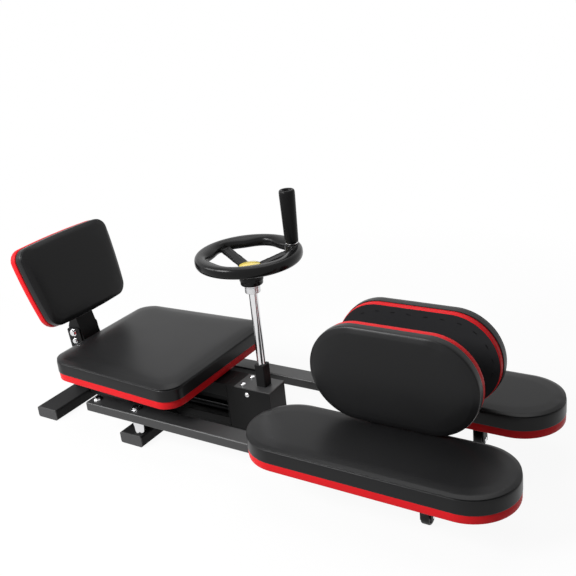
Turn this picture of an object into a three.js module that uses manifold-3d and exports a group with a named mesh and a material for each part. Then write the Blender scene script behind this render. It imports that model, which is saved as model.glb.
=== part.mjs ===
// Leg stretching machine: a frame with a seat, two leg arms that a handwheel opens, and a backrest.
// Millimetres, +Z up. While it is built, x is counted forward from the axis of the two leg pivots,
// y from the middle plane (near side negative) and z from the floor.
import * as THREE from 'three';
import { mergeVertices } from 'three/addons/utils/BufferGeometryUtils.js';
import Module from 'manifold-3d';

const wasm = await Module();
wasm.setup();

// Clearances and counts shared by all pieces
const gap = 0.3;
const overrun = 2;
const turnedSides = 24;
const rodSides = 20;
const smallRodSides = 12;
const smallRodRadius = 7;
const hexagonSides = 6;
const arcSteps = 3;

// Frame
const crossTube = { width: 70, height: 30, wall: 2.5, corner: 5 };
const rearTube = { behindPivot: 325.4, length: 328.8 };
const pivotTube = { behindPivot: 15.7, length: 348.6, pivotInset: 20.3 };
const tubeCap = { flange: 4, plug: 5 };
const beam = { width: 68, wall: 3, bottom: crossTube.height + gap, top: 142.2, rear: 344, front: 195.7 };
const recess = { rear: 94, bottom: 49, top: 107, plate: 3, web: 3, webBottom: 72 };
const drainHole = { radius: 6, apart: 30 };

// Gearbox under the handwheel
const box = { width: 67.8, wall: 3.4, bottom: 29.3, front: 321.6, lid: 2.7, lidRear: 220.1 };
const lidScrew = { x: 238.1, apart: 39, radius: 3, headRadius: 6.5, headHeight: 5, length: 11 };
const sideScrew = { x: 257.1, z: 125.7 };
const post = { x: 285.8, radius: 10.4, journalRadius: 5, top: 436 };
const socket = { side: 27, top: 199, corner: 3 };

// Lead screw, its nut and its gears
const screw = { z: 50, radius: 8, journalRadius: 5 };
const bearing = { sleeveRadius: 9, flangeRadius: 12, flange: 3 };
const gear = { pitchRadius: 12.8, teeth: 16, face: 4, hub: 8, hubRadius: 9, addendum: 1.2, dedendum: 1.7 };
const toothRootShare = 0.31;
const toothTipShare = 0.13;
const halfToothShare = 1 / 2;
const nut = { halfLength: 20, halfWidth: 27, bottom: 36, wing: 5, wingReach: 46 };

// Legs: the rail turns on a bush that stands on the pivot tube
const halfSpacing = pivotTube.length / 2 - pivotTube.pivotInset;
const lever = 128.2;
const rail = { width: 50, height: 25, wall: 2.5, corner: 4, bottom: 70.5, rear: 147, front: 871 };
const bush = { radius: 12.5 };
const pivotBolt = { radius: 6, headRadius: 10.5, headHeight: 5.6, washerRadius: 12.5, washer: 1.4, inTube: 18, nut: 8 };
const linkBolt = { radius: 5, headRadius: 9.2, headHeight: 5.4, washerRadius: 12, washer: 1.4, nut: 6, tail: 2 };
const link = { length: 170, width: 20, thickness: 6, pinApart: 34, headRadius: 8, headHeight: 5 };
const legPad = { rear: 355.2, length: 598, width: 192.8, board: 19.5 };
const strap = { thickness: 4, width: 30, apart: 120, tieTop: 300, tieHeight: 30 };
const upright = { rear: 477, length: 377, bottom: 161.8, height: 213, inward: 105.7, board: 14.1 };

// Casters under the arms
const caster = { x: 768.1, radius: 20, width: 18, axle: 4, side: 1, plate: 2.5, depth: 26, crown: 49, stem: 12 };

// Seat and backrest
const seat = {
  rear: 237.1, length: 413.7, rearWidth: 369, frontWidth: 406, board: 17.9, corner: 46, lift: 15.5, pitch: 1.15,
};
const seatBracket = { length: 44, width: 190, sheet: 3, rearX: -180, frontX: 120 };
const back = {
  lean: 16.5, topWidth: 311, bottomWidth: 270, height: 219, rise: 41.4, corner: 30, board: 18, bow: 5,
};
const hinge = { x: -307.5, z: 202.1, boltRadius: 5, headRadius: 8.8, headHeight: 5, washer: 1.5 };
const lock = { reach: 24.3, back: 12.4, boltRadius: 3.6, headRadius: 6.6, headHeight: 4, swing: 12 };
const washerShare = 1.2;
const cheek = { x: -300.6, lean: 6.4, width: 46.6, height: 72.2, sheet: 4, face: 35, corner: 4, foot: 4 };
const inner = { sheet: 4, webForward: 25.9, above: 128, below: 36, shoulder: 38, behind: 16 };

// Cushions: crease and edge heights are counted from the board's face
const seatCushion = { crease: 30, groove: 1.6, tuck: 3, bulge: 2, edge: 36, edgeRadius: 20, crown: 5 };
const legCushion = { crease: 21, groove: 1.6, tuck: 2.5, bulge: 1, edge: 25, edgeRadius: 13, crown: 5 };
const sideCushion = { crease: 19, groove: 1.6, tuck: 2.5, bulge: 2.5, edge: 25, edgeRadius: 14, crown: 6 };
const backCushion = { crease: 22, groove: 1.6, tuck: 3, bulge: 1.5, edge: 30, edgeRadius: 14, crown: 6 };

// Handwheel
const wheel = { radius: 125, z: 473.4, rimWidth: 21, rimHeight: 22, wave: 2.6, waves: 9 };
const spoke = { count: 3, first: 40.4, width: 25, thickness: 9, hubZ: 444, rootRadius: 16 };
const hub = { radius: 28, bottom: 396.3, neck: 412, top: 451, wellRadius: 25.5, wellDepth: 3 };
const collar = { radius: 18.5, height: 17 };
const wheelCap = { radius: 25, rim: 2.4, dome: 4 };
const capShoulderShare = 0.7;
const handle = { radius: 101.5, bossRadius: 15, bossTop: 485, bottom: 492, top: 613.6, bore: 5.3 };
const grip = { bottomRadius: 14.2, topRadius: 17.6, wellRadius: 9, wellDepth: 16, edge: 2.5 };
const spindle = { radius: 5, ringRadius: 12.5, headRadius: 8, headHeight: 5, rootDepth: 16 };

// Finishes
const finish = (colour, roughness, metalness) => new THREE.MeshStandardMaterial({
  color: colour, roughness, metalness,
});
const paint = finish(0x1d1d1f, 0.45, 0.2);
const blackPlastic = finish(0x1a1a1b, 0.5, 0);
const ribbedPlastic = finish(0x2c2c2e, 0.7, 0);
const chrome = finish(0xd8d8da, 0.15, 1);
const steel = finish(0x9a9a9c, 0.35, 1);
const redBoard = finish(0xd8202a, 0.5, 0);
const vinyl = finish(0x2b2b2d, 0.6, 0);
const yellow = finish(0xd8c84f, 0.4, 0);

// Solid helpers
function toSolid(geometry) {
  const bare = geometry.clone();
  bare.deleteAttribute('normal');
  bare.deleteAttribute('uv');
  const merged = mergeVertices(bare);
  return new wasm.Manifold(new wasm.Mesh({
    numProp: 3,
    vertProperties: new Float32Array(merged.attributes.position.array),
    triVerts: new Uint32Array(merged.index.array),
  }));
}

function toGeometry(solid) {
  const mesh = solid.getMesh();
  const geometry = new THREE.BufferGeometry();
  geometry.setAttribute('position', new THREE.BufferAttribute(new Float32Array(mesh.vertProperties), 3));
  geometry.setIndex(new THREE.BufferAttribute(new Uint32Array(mesh.triVerts), 1));
  geometry.computeVertexNormals();
  return geometry;
}

const join = (first, ...others) => others.reduce((sum, other) => sum.add(other), first);
const cut = (first, ...others) => others.reduce((rest, other) => rest.subtract(other), first);

function addPiece(parent, name, solid, material) {
  const mesh = new THREE.Mesh(toGeometry(solid), material);
  mesh.name = name;
  parent.add(mesh);
  return mesh;
}

// A block from its low corner to its high corner
function block(x0, x1, y0, y1, z0, z1) {
  const geometry = new THREE.BoxGeometry(x1 - x0, y1 - y0, z1 - z0);
  return toSolid(geometry.translate((x0 + x1) / 2, (y0 + y1) / 2, (z0 + z1) / 2));
}

// Round or many-sided rods along each axis
const sidesFor = (radius) => (radius < smallRodRadius ? smallRodSides : rodSides);

function rodZ(radius, x, y, z0, z1, sides = sidesFor(radius)) {
  const geometry = new THREE.CylinderGeometry(radius, radius, z1 - z0, sides);
  return toSolid(geometry.rotateX(Math.PI / 2).translate(x, y, (z0 + z1) / 2));
}

function rodX(radius, y, z, x0, x1, sides = sidesFor(radius)) {
  const geometry = new THREE.CylinderGeometry(radius, radius, x1 - x0, sides);
  return toSolid(geometry.rotateZ(Math.PI / 2).translate((x0 + x1) / 2, y, z));
}

function rodY(radius, x, z, y0, y1, sides = sidesFor(radius)) {
  const geometry = new THREE.CylinderGeometry(radius, radius, y1 - y0, sides);
  return toSolid(geometry.translate(x, (y0 + y1) / 2, z));
}

// A turned piece: the profile's points are [radius, z]
function turned(profile, x, y, sides = turnedSides) {
  const points = profile.map(([radius, z]) => new THREE.Vector2(radius, z));
  const geometry = new THREE.LatheGeometry(points, sides);
  return toSolid(geometry.rotateX(Math.PI / 2).translate(x, y, 0));
}

// Flat shapes
function roundedRectangle(width, height, radius) {
  const w = width / 2;
  const h = height / 2;
  const shape = new THREE.Shape();
  shape.absarc(w - radius, h - radius, radius, 0, Math.PI / 2);
  shape.absarc(radius - w, h - radius, radius, Math.PI / 2, Math.PI);
  shape.absarc(radius - w, radius - h, radius, Math.PI, Math.PI * 1.5);
  shape.absarc(w - radius, radius - h, radius, Math.PI * 1.5, Math.PI * 2);
  return shape;
}

function polygon(points) {
  return new THREE.Shape(points.map(([x, y]) => new THREE.Vector2(x, y)));
}

function extruded(shape, depth, curveSegments = arcSteps) {
  return new THREE.ExtrudeGeometry(shape, { depth, bevelEnabled: false, curveSegments });
}

const unitX = new THREE.Vector3(1, 0, 0);
const unitY = new THREE.Vector3(0, 1, 0);
const unitZ = new THREE.Vector3(0, 0, 1);

// A shape drawn in y and z, run along x
function alongX(shape, x0, x1, y, z) {
  const turn = new THREE.Matrix4().makeBasis(unitY, unitZ, unitX);
  return toSolid(extruded(shape, x1 - x0).applyMatrix4(turn).translate(x0, y, z));
}

// A shape drawn in x and z, run along y
function alongY(shape, y0, y1, x, z) {
  const turn = new THREE.Matrix4().makeBasis(unitX, unitZ, unitY.clone().negate());
  return toSolid(extruded(shape, y1 - y0).applyMatrix4(turn).translate(x, y1, z));
}

// A shape drawn in x and y, run upward
function upZ(shape, z0, z1, x, y) {
  return toSolid(extruded(shape, z1 - z0).translate(x, y, z0));
}

// A closed skin through rings of equally many points, with a fan on each end
function loft(rings) {
  const count = rings[0].length;
  const positions = rings.flat().flatMap((point) => [point.x, point.y, point.z]);
  const centre = (ring) => ring.reduce((sum, point) => sum.add(point), new THREE.Vector3()).divideScalar(count);
  const first = centre(rings[0]);
  const last = centre(rings[rings.length - 1]);
  positions.push(first.x, first.y, first.z, last.x, last.y, last.z);
  const firstIndex = rings.length * count;
  const index = [];
  for (let i = 0; i < count; i += 1) {
    const next = (i + 1) % count;
    index.push(firstIndex, next, i);
    for (let k = 0; k + 1 < rings.length; k += 1) {
      const low = k * count;
      const high = low + count;
      index.push(low + i, low + next, high + next, low + i, high + next, high + i);
    }
    const top = (rings.length - 1) * count;
    index.push(firstIndex + 1, top + i, top + next);
  }
  const geometry = new THREE.BufferGeometry();
  geometry.setAttribute('position', new THREE.BufferAttribute(new Float32Array(positions), 3));
  geometry.setIndex(index);
  return geometry;
}

// Plan outline of a pad, counter-clockwise, drawn in from its edge by inset
const cornerSteps = 6;
const sideSteps = 2;
const leastCornerShare = 0.05;

function padOutline(length, width, corner, inset) {
  const radius = Math.max(corner - inset, corner * leastCornerShare);
  const x = length / 2 - inset - radius;
  const y = width / 2 - inset - radius;
  const centres = [[x, y], [-x, y], [-x, -y], [x, -y]];
  const points = [];
  centres.forEach(([cx, cy], quarter) => {
    for (let i = 0; i <= cornerSteps; i += 1) {
      const angle = (quarter + i / cornerSteps) * Math.PI / 2;
      points.push([cx + radius * Math.cos(angle), cy + radius * Math.sin(angle)]);
    }
    const from = points[points.length - 1];
    const [nx, ny] = centres[(quarter + 1) % 4];
    const angle = (quarter + 1) * Math.PI / 2;
    const to = [nx + radius * Math.cos(angle), ny + radius * Math.sin(angle)];
    for (let i = 1; i < sideSteps; i += 1) {
      const share = i / sideSteps;
      points.push([from[0] + (to[0] - from[0]) * share, from[1] + (to[1] - from[1]) * share]);
    }
  });
  return points;
}

// The seat's outline: the width grows forward (+x)
function seatOutline(inset) {
  const width = (seat.rearWidth + seat.frontWidth) / 2;
  const growth = (seat.frontWidth - seat.rearWidth) / 2;
  return padOutline(seat.length, width, seat.corner, inset).map(([x, y]) => {
    const forward = 2 * x / seat.length;
    return [x, y * (width + growth * forward) / width];
  });
}

// The backrest's outline: the width grows upward (+x) and every side bows out
function backOutline(inset) {
  const width = (back.topWidth + back.bottomWidth) / 2;
  return padOutline(back.height, width, back.corner, inset).map(([x, y]) => {
    const up = 2 * x / back.height;
    const across = 2 * y / width;
    const widthHere = width + (back.topWidth - back.bottomWidth) / 2 * up;
    const bowX = back.bow * (1 - across * across) * up;
    const bowY = back.bow * (1 - up * up) * across;
    return [x + bowX, y * widthHere / width + bowY];
  });
}

// A cushion: drawn in at the board, bulging at the side, a crease, a rounded edge and a crowned face
const edgeSteps = 4;
const crownSteps = 3;
const crownReachShare = 0.72;
const bulgeShare = 0.45;

function cushion(outline, width, form) {
  const rings = [];
  const ring = (inset, z) => {
    rings.push(outline(inset).map(([x, y]) => new THREE.Vector3(x, y, z)));
  };
  ring(form.tuck, 0);
  ring(form.tuck * (1 - bulgeShare), form.crease * bulgeShare / 2);
  ring(-form.bulge, form.crease * bulgeShare);
  ring(-form.bulge, form.crease - form.groove);
  ring(form.groove - form.bulge, form.crease);
  ring(-form.bulge, form.crease + form.groove);
  const edgeBase = form.crease + form.groove;
  for (let i = 1; i <= edgeSteps; i += 1) {
    const angle = i / edgeSteps * Math.PI / 2;
    const inset = form.edgeRadius * (1 - Math.cos(angle)) - form.bulge;
    ring(inset, edgeBase + (form.edge - edgeBase) * Math.sin(angle));
  }
  const crownStart = form.edgeRadius - form.bulge;
  const reach = width / 2 * crownReachShare;
  for (let i = 1; i <= crownSteps; i += 1) {
    const share = i / crownSteps;
    const rise = form.crown * share * (2 - share);
    ring(crownStart + (reach - crownStart) * share, form.edge + rise);
  }
  return toSolid(loft(rings));
}

// A straight board with the pad's outline
function board(outline, thickness) {
  return toSolid(extruded(polygon(outline(0)), thickness));
}

// The machine, one short function per sub-part
const machine = new THREE.Group();
machine.name = 'leg_stretching_machine';
const frontReach = legPad.rear + legPad.length + legCushion.bulge;
const rearReach = rearTube.behindPivot + crossTube.width / 2;
machine.position.x = (rearReach - frontReach) / 2;

const railTop = rail.bottom + rail.height;
const railShoulder = railTop + gap;

function addCrossTube(name, tube, boltHoles) {
  const outside = roundedRectangle(crossTube.width, crossTube.height, crossTube.corner);
  const wall = crossTube.wall * 2;
  const inside = roundedRectangle(crossTube.width - wall, crossTube.height - wall, crossTube.corner - crossTube.wall);
  const half = tube.length / 2 - tubeCap.flange;
  const x = -tube.behindPivot;
  const z = crossTube.height / 2;
  let solid = cut(alongY(outside, -half, half, x, z), alongY(inside, -half - overrun, half + overrun, x, z));
  for (const y of boltHoles) {
    solid = cut(solid, rodZ(pivotBolt.radius + gap, 0, y, z, crossTube.height + overrun));
  }
  addPiece(machine, name, solid, paint);
}

function addTubeCap(name, tube, side) {
  const flange = roundedRectangle(crossTube.width, crossTube.height, crossTube.corner);
  const inset = (crossTube.wall + gap) * 2;
  const plug = roundedRectangle(crossTube.width - inset, crossTube.height - inset, crossTube.corner - crossTube.wall);
  const end = tube.length / 2;
  const z = crossTube.height / 2;
  const tubeEnd = end - tubeCap.flange;
  const spans = side < 0
    ? [[-end, -tubeEnd - gap], [-tubeEnd - gap, tubeCap.plug - tubeEnd]]
    : [[tubeEnd + gap, end], [tubeEnd - tubeCap.plug, tubeEnd + gap]];
  const solid = join(
    alongY(flange, spans[0][0], spans[0][1], -tube.behindPivot, z),
    alongY(plug, spans[1][0], spans[1][1], -tube.behindPivot, z),
  );
  addPiece(machine, name, solid, ribbedPlastic);
}

// The beam: a box behind, a covered recess on both sides for the rails' ends, a channel for the screw
function addBeam() {
  const half = beam.width / 2;
  const inside = half - beam.wall;
  const webBack = -recess.rear - recess.plate;
  const plateFront = beam.front - recess.plate;
  let solid = block(-beam.rear, beam.front, -half, half, beam.bottom, beam.top);
  const rearInside = -beam.rear + recess.plate;
  solid = cut(
    solid,
    block(rearInside, webBack, -inside, inside, beam.bottom + beam.wall, beam.top - beam.wall),
    block(webBack - overrun, plateFront, -inside, inside, recess.top + beam.wall, beam.top - beam.wall),
    block(-recess.rear, plateFront, -half - overrun, half + overrun, recess.bottom, recess.top),
    block(-recess.rear, plateFront, -inside, inside, beam.bottom + beam.wall, recess.bottom + overrun),
    rodX(bearing.sleeveRadius + gap, 0, screw.z, webBack - overrun, -recess.rear + overrun),
    rodX(bearing.sleeveRadius + gap, 0, screw.z, plateFront - overrun, beam.front + overrun),
    rodX(drainHole.radius, -drainHole.apart / 2, beam.bottom + drainHole.apart, -beam.rear - overrun, rearInside + overrun),
    rodX(drainHole.radius, drainHole.apart / 2, beam.bottom + drainHole.apart, -beam.rear - overrun, rearInside + overrun),
  );
  const web = block(webBack, beam.front, -recess.web / 2, recess.web / 2, recess.webBottom, recess.top + beam.wall / 2);
  addPiece(machine, 'main_beam', join(solid, web), paint);
}

const boxRear = beam.front + gap;
const lidTop = beam.top;
const lidBottom = lidTop - box.lid;

function addGearbox() {
  const half = box.width / 2;
  const inside = half - box.wall;
  const frontInside = box.front - box.wall;
  const rearInside = boxRear + box.wall;
  const floor = box.bottom + box.wall;
  let solid = block(boxRear, box.front, -half, half, box.bottom, lidBottom - gap);
  const shelf = block(boxRear, box.lidRear - gap, -half, half, lidBottom - box.wall, lidTop);
  solid = join(solid, shelf);
  solid = cut(
    solid,
    block(rearInside, frontInside, -inside, inside, floor, lidBottom - box.wall),
    block(box.lidRear + box.wall, frontInside, -inside, inside, floor, lidTop),
    rodX(bearing.sleeveRadius + gap, 0, screw.z, boxRear - overrun, rearInside + overrun),
    rodY(lidScrew.radius + gap, sideScrew.x, sideScrew.z, -half - overrun, half + overrun),
  );
  addPiece(machine, 'gearbox_housing', solid, paint);

  const lid = cut(
    block(box.lidRear, box.front, -half, half, lidBottom, lidTop),
    rodZ(post.radius + 2 * gap, post.x, 0, lidBottom - overrun, lidTop + overrun),
    rodZ(lidScrew.radius + gap, lidScrew.x, -lidScrew.apart / 2, lidBottom - overrun, lidTop + overrun),
    rodZ(lidScrew.radius + gap, lidScrew.x, lidScrew.apart / 2, lidBottom - overrun, lidTop + overrun),
  );
  addPiece(machine, 'gearbox_cover', lid, paint);

  const outside = roundedRectangle(socket.side, socket.side, socket.corner);
  const socketBottom = lidTop + gap;
  const sleeve = cut(
    upZ(outside, socketBottom, socket.top, post.x, 0),
    rodZ(post.radius + gap, post.x, 0, socketBottom - overrun, socket.top + overrun),
  );
  addPiece(machine, 'post_socket', sleeve, paint);
}

// Button head with its shank, drawn along z with the seat of the head at zero
function buttonScrew() {
  const { radius, headRadius, headHeight, length } = lidScrew;
  const middle = headHeight / 2;
  return turned([
    [0, -length], [radius, -length], [radius, 0], [headRadius, 0], [headRadius, middle / 2],
    [(headRadius + radius) / 2, headHeight - middle / 4], [0, headHeight],
  ], 0, 0, smallRodSides);
}

function addScrews() {
  const seatZ = lidTop + gap;
  addPiece(machine, 'cover_screw_near', buttonScrew(), chrome).position.set(lidScrew.x, -lidScrew.apart / 2, seatZ);
  addPiece(machine, 'cover_screw_far', buttonScrew(), chrome).position.set(lidScrew.x, lidScrew.apart / 2, seatZ);
  for (const [name, side] of [['side_screw_near', -1], ['side_screw_far', 1]]) {
    const mesh = addPiece(machine, name, buttonScrew(), chrome);
    mesh.position.set(sideScrew.x, side * (box.width / 2 + gap), sideScrew.z);
    mesh.rotation.x = -side * Math.PI / 2;
  }
}

// Lead screw: threaded length between two journals, the front one carrying the bevel gear
const gearBack = post.x - gear.pitchRadius;

function addScrew() {
  const threadRear = gap - recess.rear;
  const threadFront = beam.front - recess.plate - gap;
  const journalRear = -recess.rear - recess.plate - bearing.flange - gap;
  const solid = join(
    rodX(screw.radius, 0, screw.z, threadRear, threadFront),
    rodX(screw.journalRadius, 0, screw.z, journalRear, gearBack + gear.face / 2),
  );
  addPiece(machine, 'lead_screw', solid, steel);

  const bore = screw.journalRadius + gap;
  const rearFlange = journalRear + gap;
  const rearPlate = -recess.rear - recess.plate - gap;
  const rearBearing = cut(
    join(
      rodX(bearing.sleeveRadius, 0, screw.z, rearFlange, -recess.rear),
      rodX(bearing.flangeRadius, 0, screw.z, rearFlange, rearPlate),
    ),
    rodX(bore, 0, screw.z, rearFlange - overrun, overrun - recess.rear),
  );
  addPiece(machine, 'screw_rear_bearing', rearBearing, steel);

  const sleeveRear = beam.front - recess.plate;
  const flangeRear = boxRear + box.wall + gap;
  const flangeFront = flangeRear + bearing.flange;
  const frontBearing = cut(
    join(
      rodX(bearing.sleeveRadius, 0, screw.z, sleeveRear, flangeFront),
      rodX(bearing.flangeRadius, 0, screw.z, flangeRear, flangeFront),
    ),
    rodX(bore, 0, screw.z, sleeveRear - overrun, flangeFront + overrun),
  );
  addPiece(machine, 'screw_front_bearing', frontBearing, steel);
}

// Mitre bevel gear with its cone's tip at the origin and its teeth toward +z, from -pitchRadius up
function bevelGear(bore, phaseShare) {
  const pitch = Math.PI * 2 / gear.teeth;
  const outline = [];
  for (let i = 0; i < gear.teeth; i += 1) {
    const corners = [
      [-toothRootShare, gear.pitchRadius - gear.dedendum], [-toothTipShare, gear.pitchRadius + gear.addendum],
      [toothTipShare, gear.pitchRadius + gear.addendum], [toothRootShare, gear.pitchRadius - gear.dedendum],
    ];
    for (const [share, radius] of corners) {
      const angle = (i + phaseShare + share) * pitch;
      outline.push([radius * Math.cos(angle), radius * Math.sin(angle)]);
    }
  }
  const section = (share) => outline.map(([x, y]) => new THREE.Vector3(
    x * share, y * share, -gear.pitchRadius * share,
  ));
  const smallShare = 1 - gear.face / gear.pitchRadius;
  const hubBottom = -gear.pitchRadius - gear.hub;
  return cut(
    join(toSolid(loft([section(1), section(smallShare)])), rodZ(gear.hubRadius, 0, 0, hubBottom, -gear.pitchRadius)),
    rodZ(bore, 0, 0, hubBottom - overrun, 0),
  );
}

function addGears(wheelGroup) {
  const bore = screw.journalRadius + gap;
  const screwGear = addPiece(machine, 'screw_bevel_gear', bevelGear(bore, 0), steel);
  screwGear.rotation.set(0, Math.PI / 2, 0);
  screwGear.position.set(post.x, 0, screw.z);
  const postGear = addPiece(wheelGroup, 'post_bevel_gear', bevelGear(bore, halfToothShare), steel);
  postGear.rotation.set(Math.PI, 0, 0);
  postGear.position.set(0, 0, screw.z);
}

// Nut: a block on the screw with a wing plate that the links lie on
const linkTop = rail.bottom - gap;
const linkBottom = linkTop - link.thickness;
const pinHome = Math.sqrt(link.length ** 2 - (halfSpacing - link.pinApart) ** 2) - lever;

function addNut() {
  const wingTop = linkBottom - gap;
  const x0 = pinHome - nut.halfLength;
  const x1 = pinHome + nut.halfLength;
  const solid = cut(
    join(
      block(x0, x1, -nut.halfWidth, nut.halfWidth, nut.bottom, wingTop - nut.wing / 2),
      block(x0, x1, -nut.wingReach, nut.wingReach, wingTop - nut.wing, wingTop),
    ),
    rodX(screw.radius + gap, 0, screw.z, x0 - overrun, x1 + overrun),
  );
  addPiece(machine, 'nut_carriage', solid, steel);
}

// A hexagon head on a washer with its shank going down, seat of the washer at z
function hexBolt(size, x, y, z, shankBottom) {
  const washerTop = z + size.washer;
  return join(
    rodZ(size.washerRadius, x, y, z, washerTop),
    rodZ(size.headRadius, x, y, washerTop, washerTop + size.headHeight, hexagonSides),
    rodZ(size.radius, x, y, shankBottom, washerTop),
  );
}

function addLeg(side, tag) {
  const y = side * halfSpacing;
  const wall = rail.wall * 2;
  const z = rail.bottom + rail.height / 2;
  const outside = roundedRectangle(rail.width, rail.height, rail.corner);
  const inside = roundedRectangle(rail.width - wall, rail.height - wall, rail.corner - rail.wall);
  const tube = cut(
    alongX(outside, -rail.rear, rail.front, y, z),
    alongX(inside, rail.wall - rail.rear, rail.front - rail.wall, y, z),
    rodZ(pivotBolt.radius + gap, 0, y, rail.bottom - overrun, railTop + overrun),
    rodZ(linkBolt.radius + gap, -lever, y, rail.bottom - overrun, railTop + overrun),
  );
  addPiece(machine, `leg_rail_${tag}`, tube, paint);

  const bushBottom = crossTube.height + gap;
  const bushSolid = cut(
    rodZ(bush.radius, 0, y, bushBottom, rail.bottom - gap),
    rodZ(pivotBolt.radius + gap, 0, y, bushBottom - overrun, rail.bottom + overrun),
  );
  addPiece(machine, `pivot_bush_${tag}`, bushSolid, chrome);

  const shankBottom = crossTube.height - pivotBolt.inTube;
  const nutBottom = crossTube.height - crossTube.wall - gap - pivotBolt.nut;
  const pivot = join(
    hexBolt(pivotBolt, 0, y, railShoulder, shankBottom),
    rodZ(pivotBolt.headRadius, 0, y, nutBottom, nutBottom + pivotBolt.nut, hexagonSides),
  );
  addPiece(machine, `pivot_bolt_${tag}`, pivot, chrome);

  const nutTop = linkBottom - gap;
  const linkNut = nutTop - linkBolt.nut;
  const bolt = join(
    hexBolt(linkBolt, -lever, y, railShoulder, linkNut - linkBolt.tail),
    rodZ(linkBolt.headRadius, -lever, y, linkNut, nutTop, hexagonSides),
  );
  addPiece(machine, `link_bolt_${tag}`, bolt, chrome);
}

// Link: a flat bar from the link bolt to its pin over the nut's wing
function addLink(side, tag) {
  const reach = link.length + link.width;
  const shape = roundedRectangle(reach, link.width, link.width / 2 - gap);
  const bar = cut(
    join(
      upZ(shape, linkBottom, linkTop, link.length / 2, 0),
      rodZ(link.headRadius, link.length, 0, linkBottom, linkTop + link.headHeight),
    ),
    rodZ(linkBolt.radius + gap, 0, 0, linkBottom - overrun, linkTop + overrun),
  );
  const mesh = addPiece(machine, `link_bar_${tag}`, bar, steel);
  mesh.position.set(-lever, side * halfSpacing, 0);
  mesh.rotation.z = -side * Math.asin((halfSpacing - link.pinApart) / link.length);
}

// Flat leg pad and its upright side pad, both on bent straps
const padBottom = railShoulder + strap.thickness + gap;
const uprightMiddle = upright.rear + upright.length / 2;
const uprightFace = halfSpacing - upright.inward;

function addLegPads(side, tag) {
  const outline = (inset) => padOutline(legPad.length, legPad.width, legPad.width / 2, inset);
  const x = legPad.rear + legPad.length / 2;
  const y = side * halfSpacing;
  addPiece(machine, `leg_board_${tag}`, board(outline, legPad.board), redBoard).position.set(x, y, padBottom);
  const form = cushion(outline, legPad.width, legCushion);
  addPiece(machine, `leg_cushion_${tag}`, form, vinyl).position.set(x, y, padBottom + legPad.board + gap);

  const standing = (inset) => padOutline(upright.length, upright.height, upright.height / 2, inset);
  const z = upright.bottom + upright.height / 2;
  const turn = -side * Math.PI / 2;
  const uprightBoard = addPiece(machine, `upright_board_${tag}`, board(standing, upright.board), redBoard);
  uprightBoard.position.set(uprightMiddle, side * uprightFace, z);
  uprightBoard.rotation.x = turn;
  const uprightForm = cushion(standing, upright.height, sideCushion);
  const uprightCushion = addPiece(machine, `upright_cushion_${tag}`, uprightForm, vinyl);
  uprightCushion.position.set(uprightMiddle, side * (uprightFace + upright.board + gap), z);
  uprightCushion.rotation.x = turn;
}

function addUprightBracket(side, tag) {
  const reach = uprightFace - gap;
  const inside = reach - strap.thickness;
  const outside = halfSpacing + rail.width / 2;
  const low = Math.min(side * inside, side * outside);
  const high = Math.max(side * inside, side * outside);
  const plateLow = Math.min(side * inside, side * reach);
  const plateHigh = Math.max(side * inside, side * reach);
  const footTop = railShoulder + strap.thickness;
  const feet = [-1, 1].map((end) => {
    const middle = uprightMiddle + end * strap.apart / 2;
    const x0 = middle - strap.width / 2;
    const x1 = middle + strap.width / 2;
    return join(
      block(x0, x1, low, high, railShoulder, footTop),
      block(x0, x1, plateLow, plateHigh, railShoulder, strap.tieTop),
    );
  });
  const tieHalf = (strap.apart + strap.width) / 2;
  const tie = block(
    uprightMiddle - tieHalf, uprightMiddle + tieHalf, plateLow, plateHigh,
    strap.tieTop - strap.tieHeight, strap.tieTop,
  );
  addPiece(machine, `upright_bracket_${tag}`, join(feet[0], feet[1], tie), paint);
}

// Caster: a fork with its stem under the rail, and a wheel that rolls along the arm's swing
function addCaster(side, tag) {
  const y = side * halfSpacing;
  const halfWheel = caster.width / 2;
  const halfFork = halfWheel + caster.side + caster.plate;
  const inside = halfWheel + caster.side;
  const crownBottom = caster.crown - caster.plate;
  const plateBottom = caster.radius - caster.axle * 2;
  const halfDepth = caster.depth / 2;
  const fork = join(
    block(caster.x - halfFork, caster.x + halfFork, y - halfDepth, y + halfDepth, crownBottom, caster.crown),
    block(caster.x - halfFork, caster.x - inside, y - halfDepth, y + halfDepth, plateBottom, caster.crown),
    block(caster.x + inside, caster.x + halfFork, y - halfDepth, y + halfDepth, plateBottom, caster.crown),
    rodZ(caster.stem, caster.x, y, caster.crown - caster.plate / 2, rail.bottom - gap),
    rodX(caster.axle, y, caster.radius, caster.x - halfFork, caster.x + halfFork),
  );
  addPiece(machine, `caster_fork_${tag}`, fork, paint);

  const bore = caster.axle + gap;
  const edge = caster.side;
  const geometry = new THREE.LatheGeometry([
    [bore, -halfWheel], [caster.radius - edge, -halfWheel], [caster.radius, edge - halfWheel],
    [caster.radius, halfWheel - edge], [caster.radius - edge, halfWheel], [bore, halfWheel], [bore, -halfWheel],
  ].map(([radius, along]) => new THREE.Vector2(radius, along)), turnedSides);
  const solid = toSolid(geometry.rotateZ(Math.PI / 2).translate(caster.x, y, caster.radius));
  addPiece(machine, `caster_wheel_${tag}`, solid, blackPlastic);
}

// Seat: red board and cushion on two cross brackets, the front a little lower
const seatPitch = THREE.MathUtils.degToRad(seat.pitch);
const seatRearBottom = beam.top + seat.lift;
const seatUnderside = (x) => seatRearBottom - (x + seat.rear) * Math.tan(seatPitch);

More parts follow.
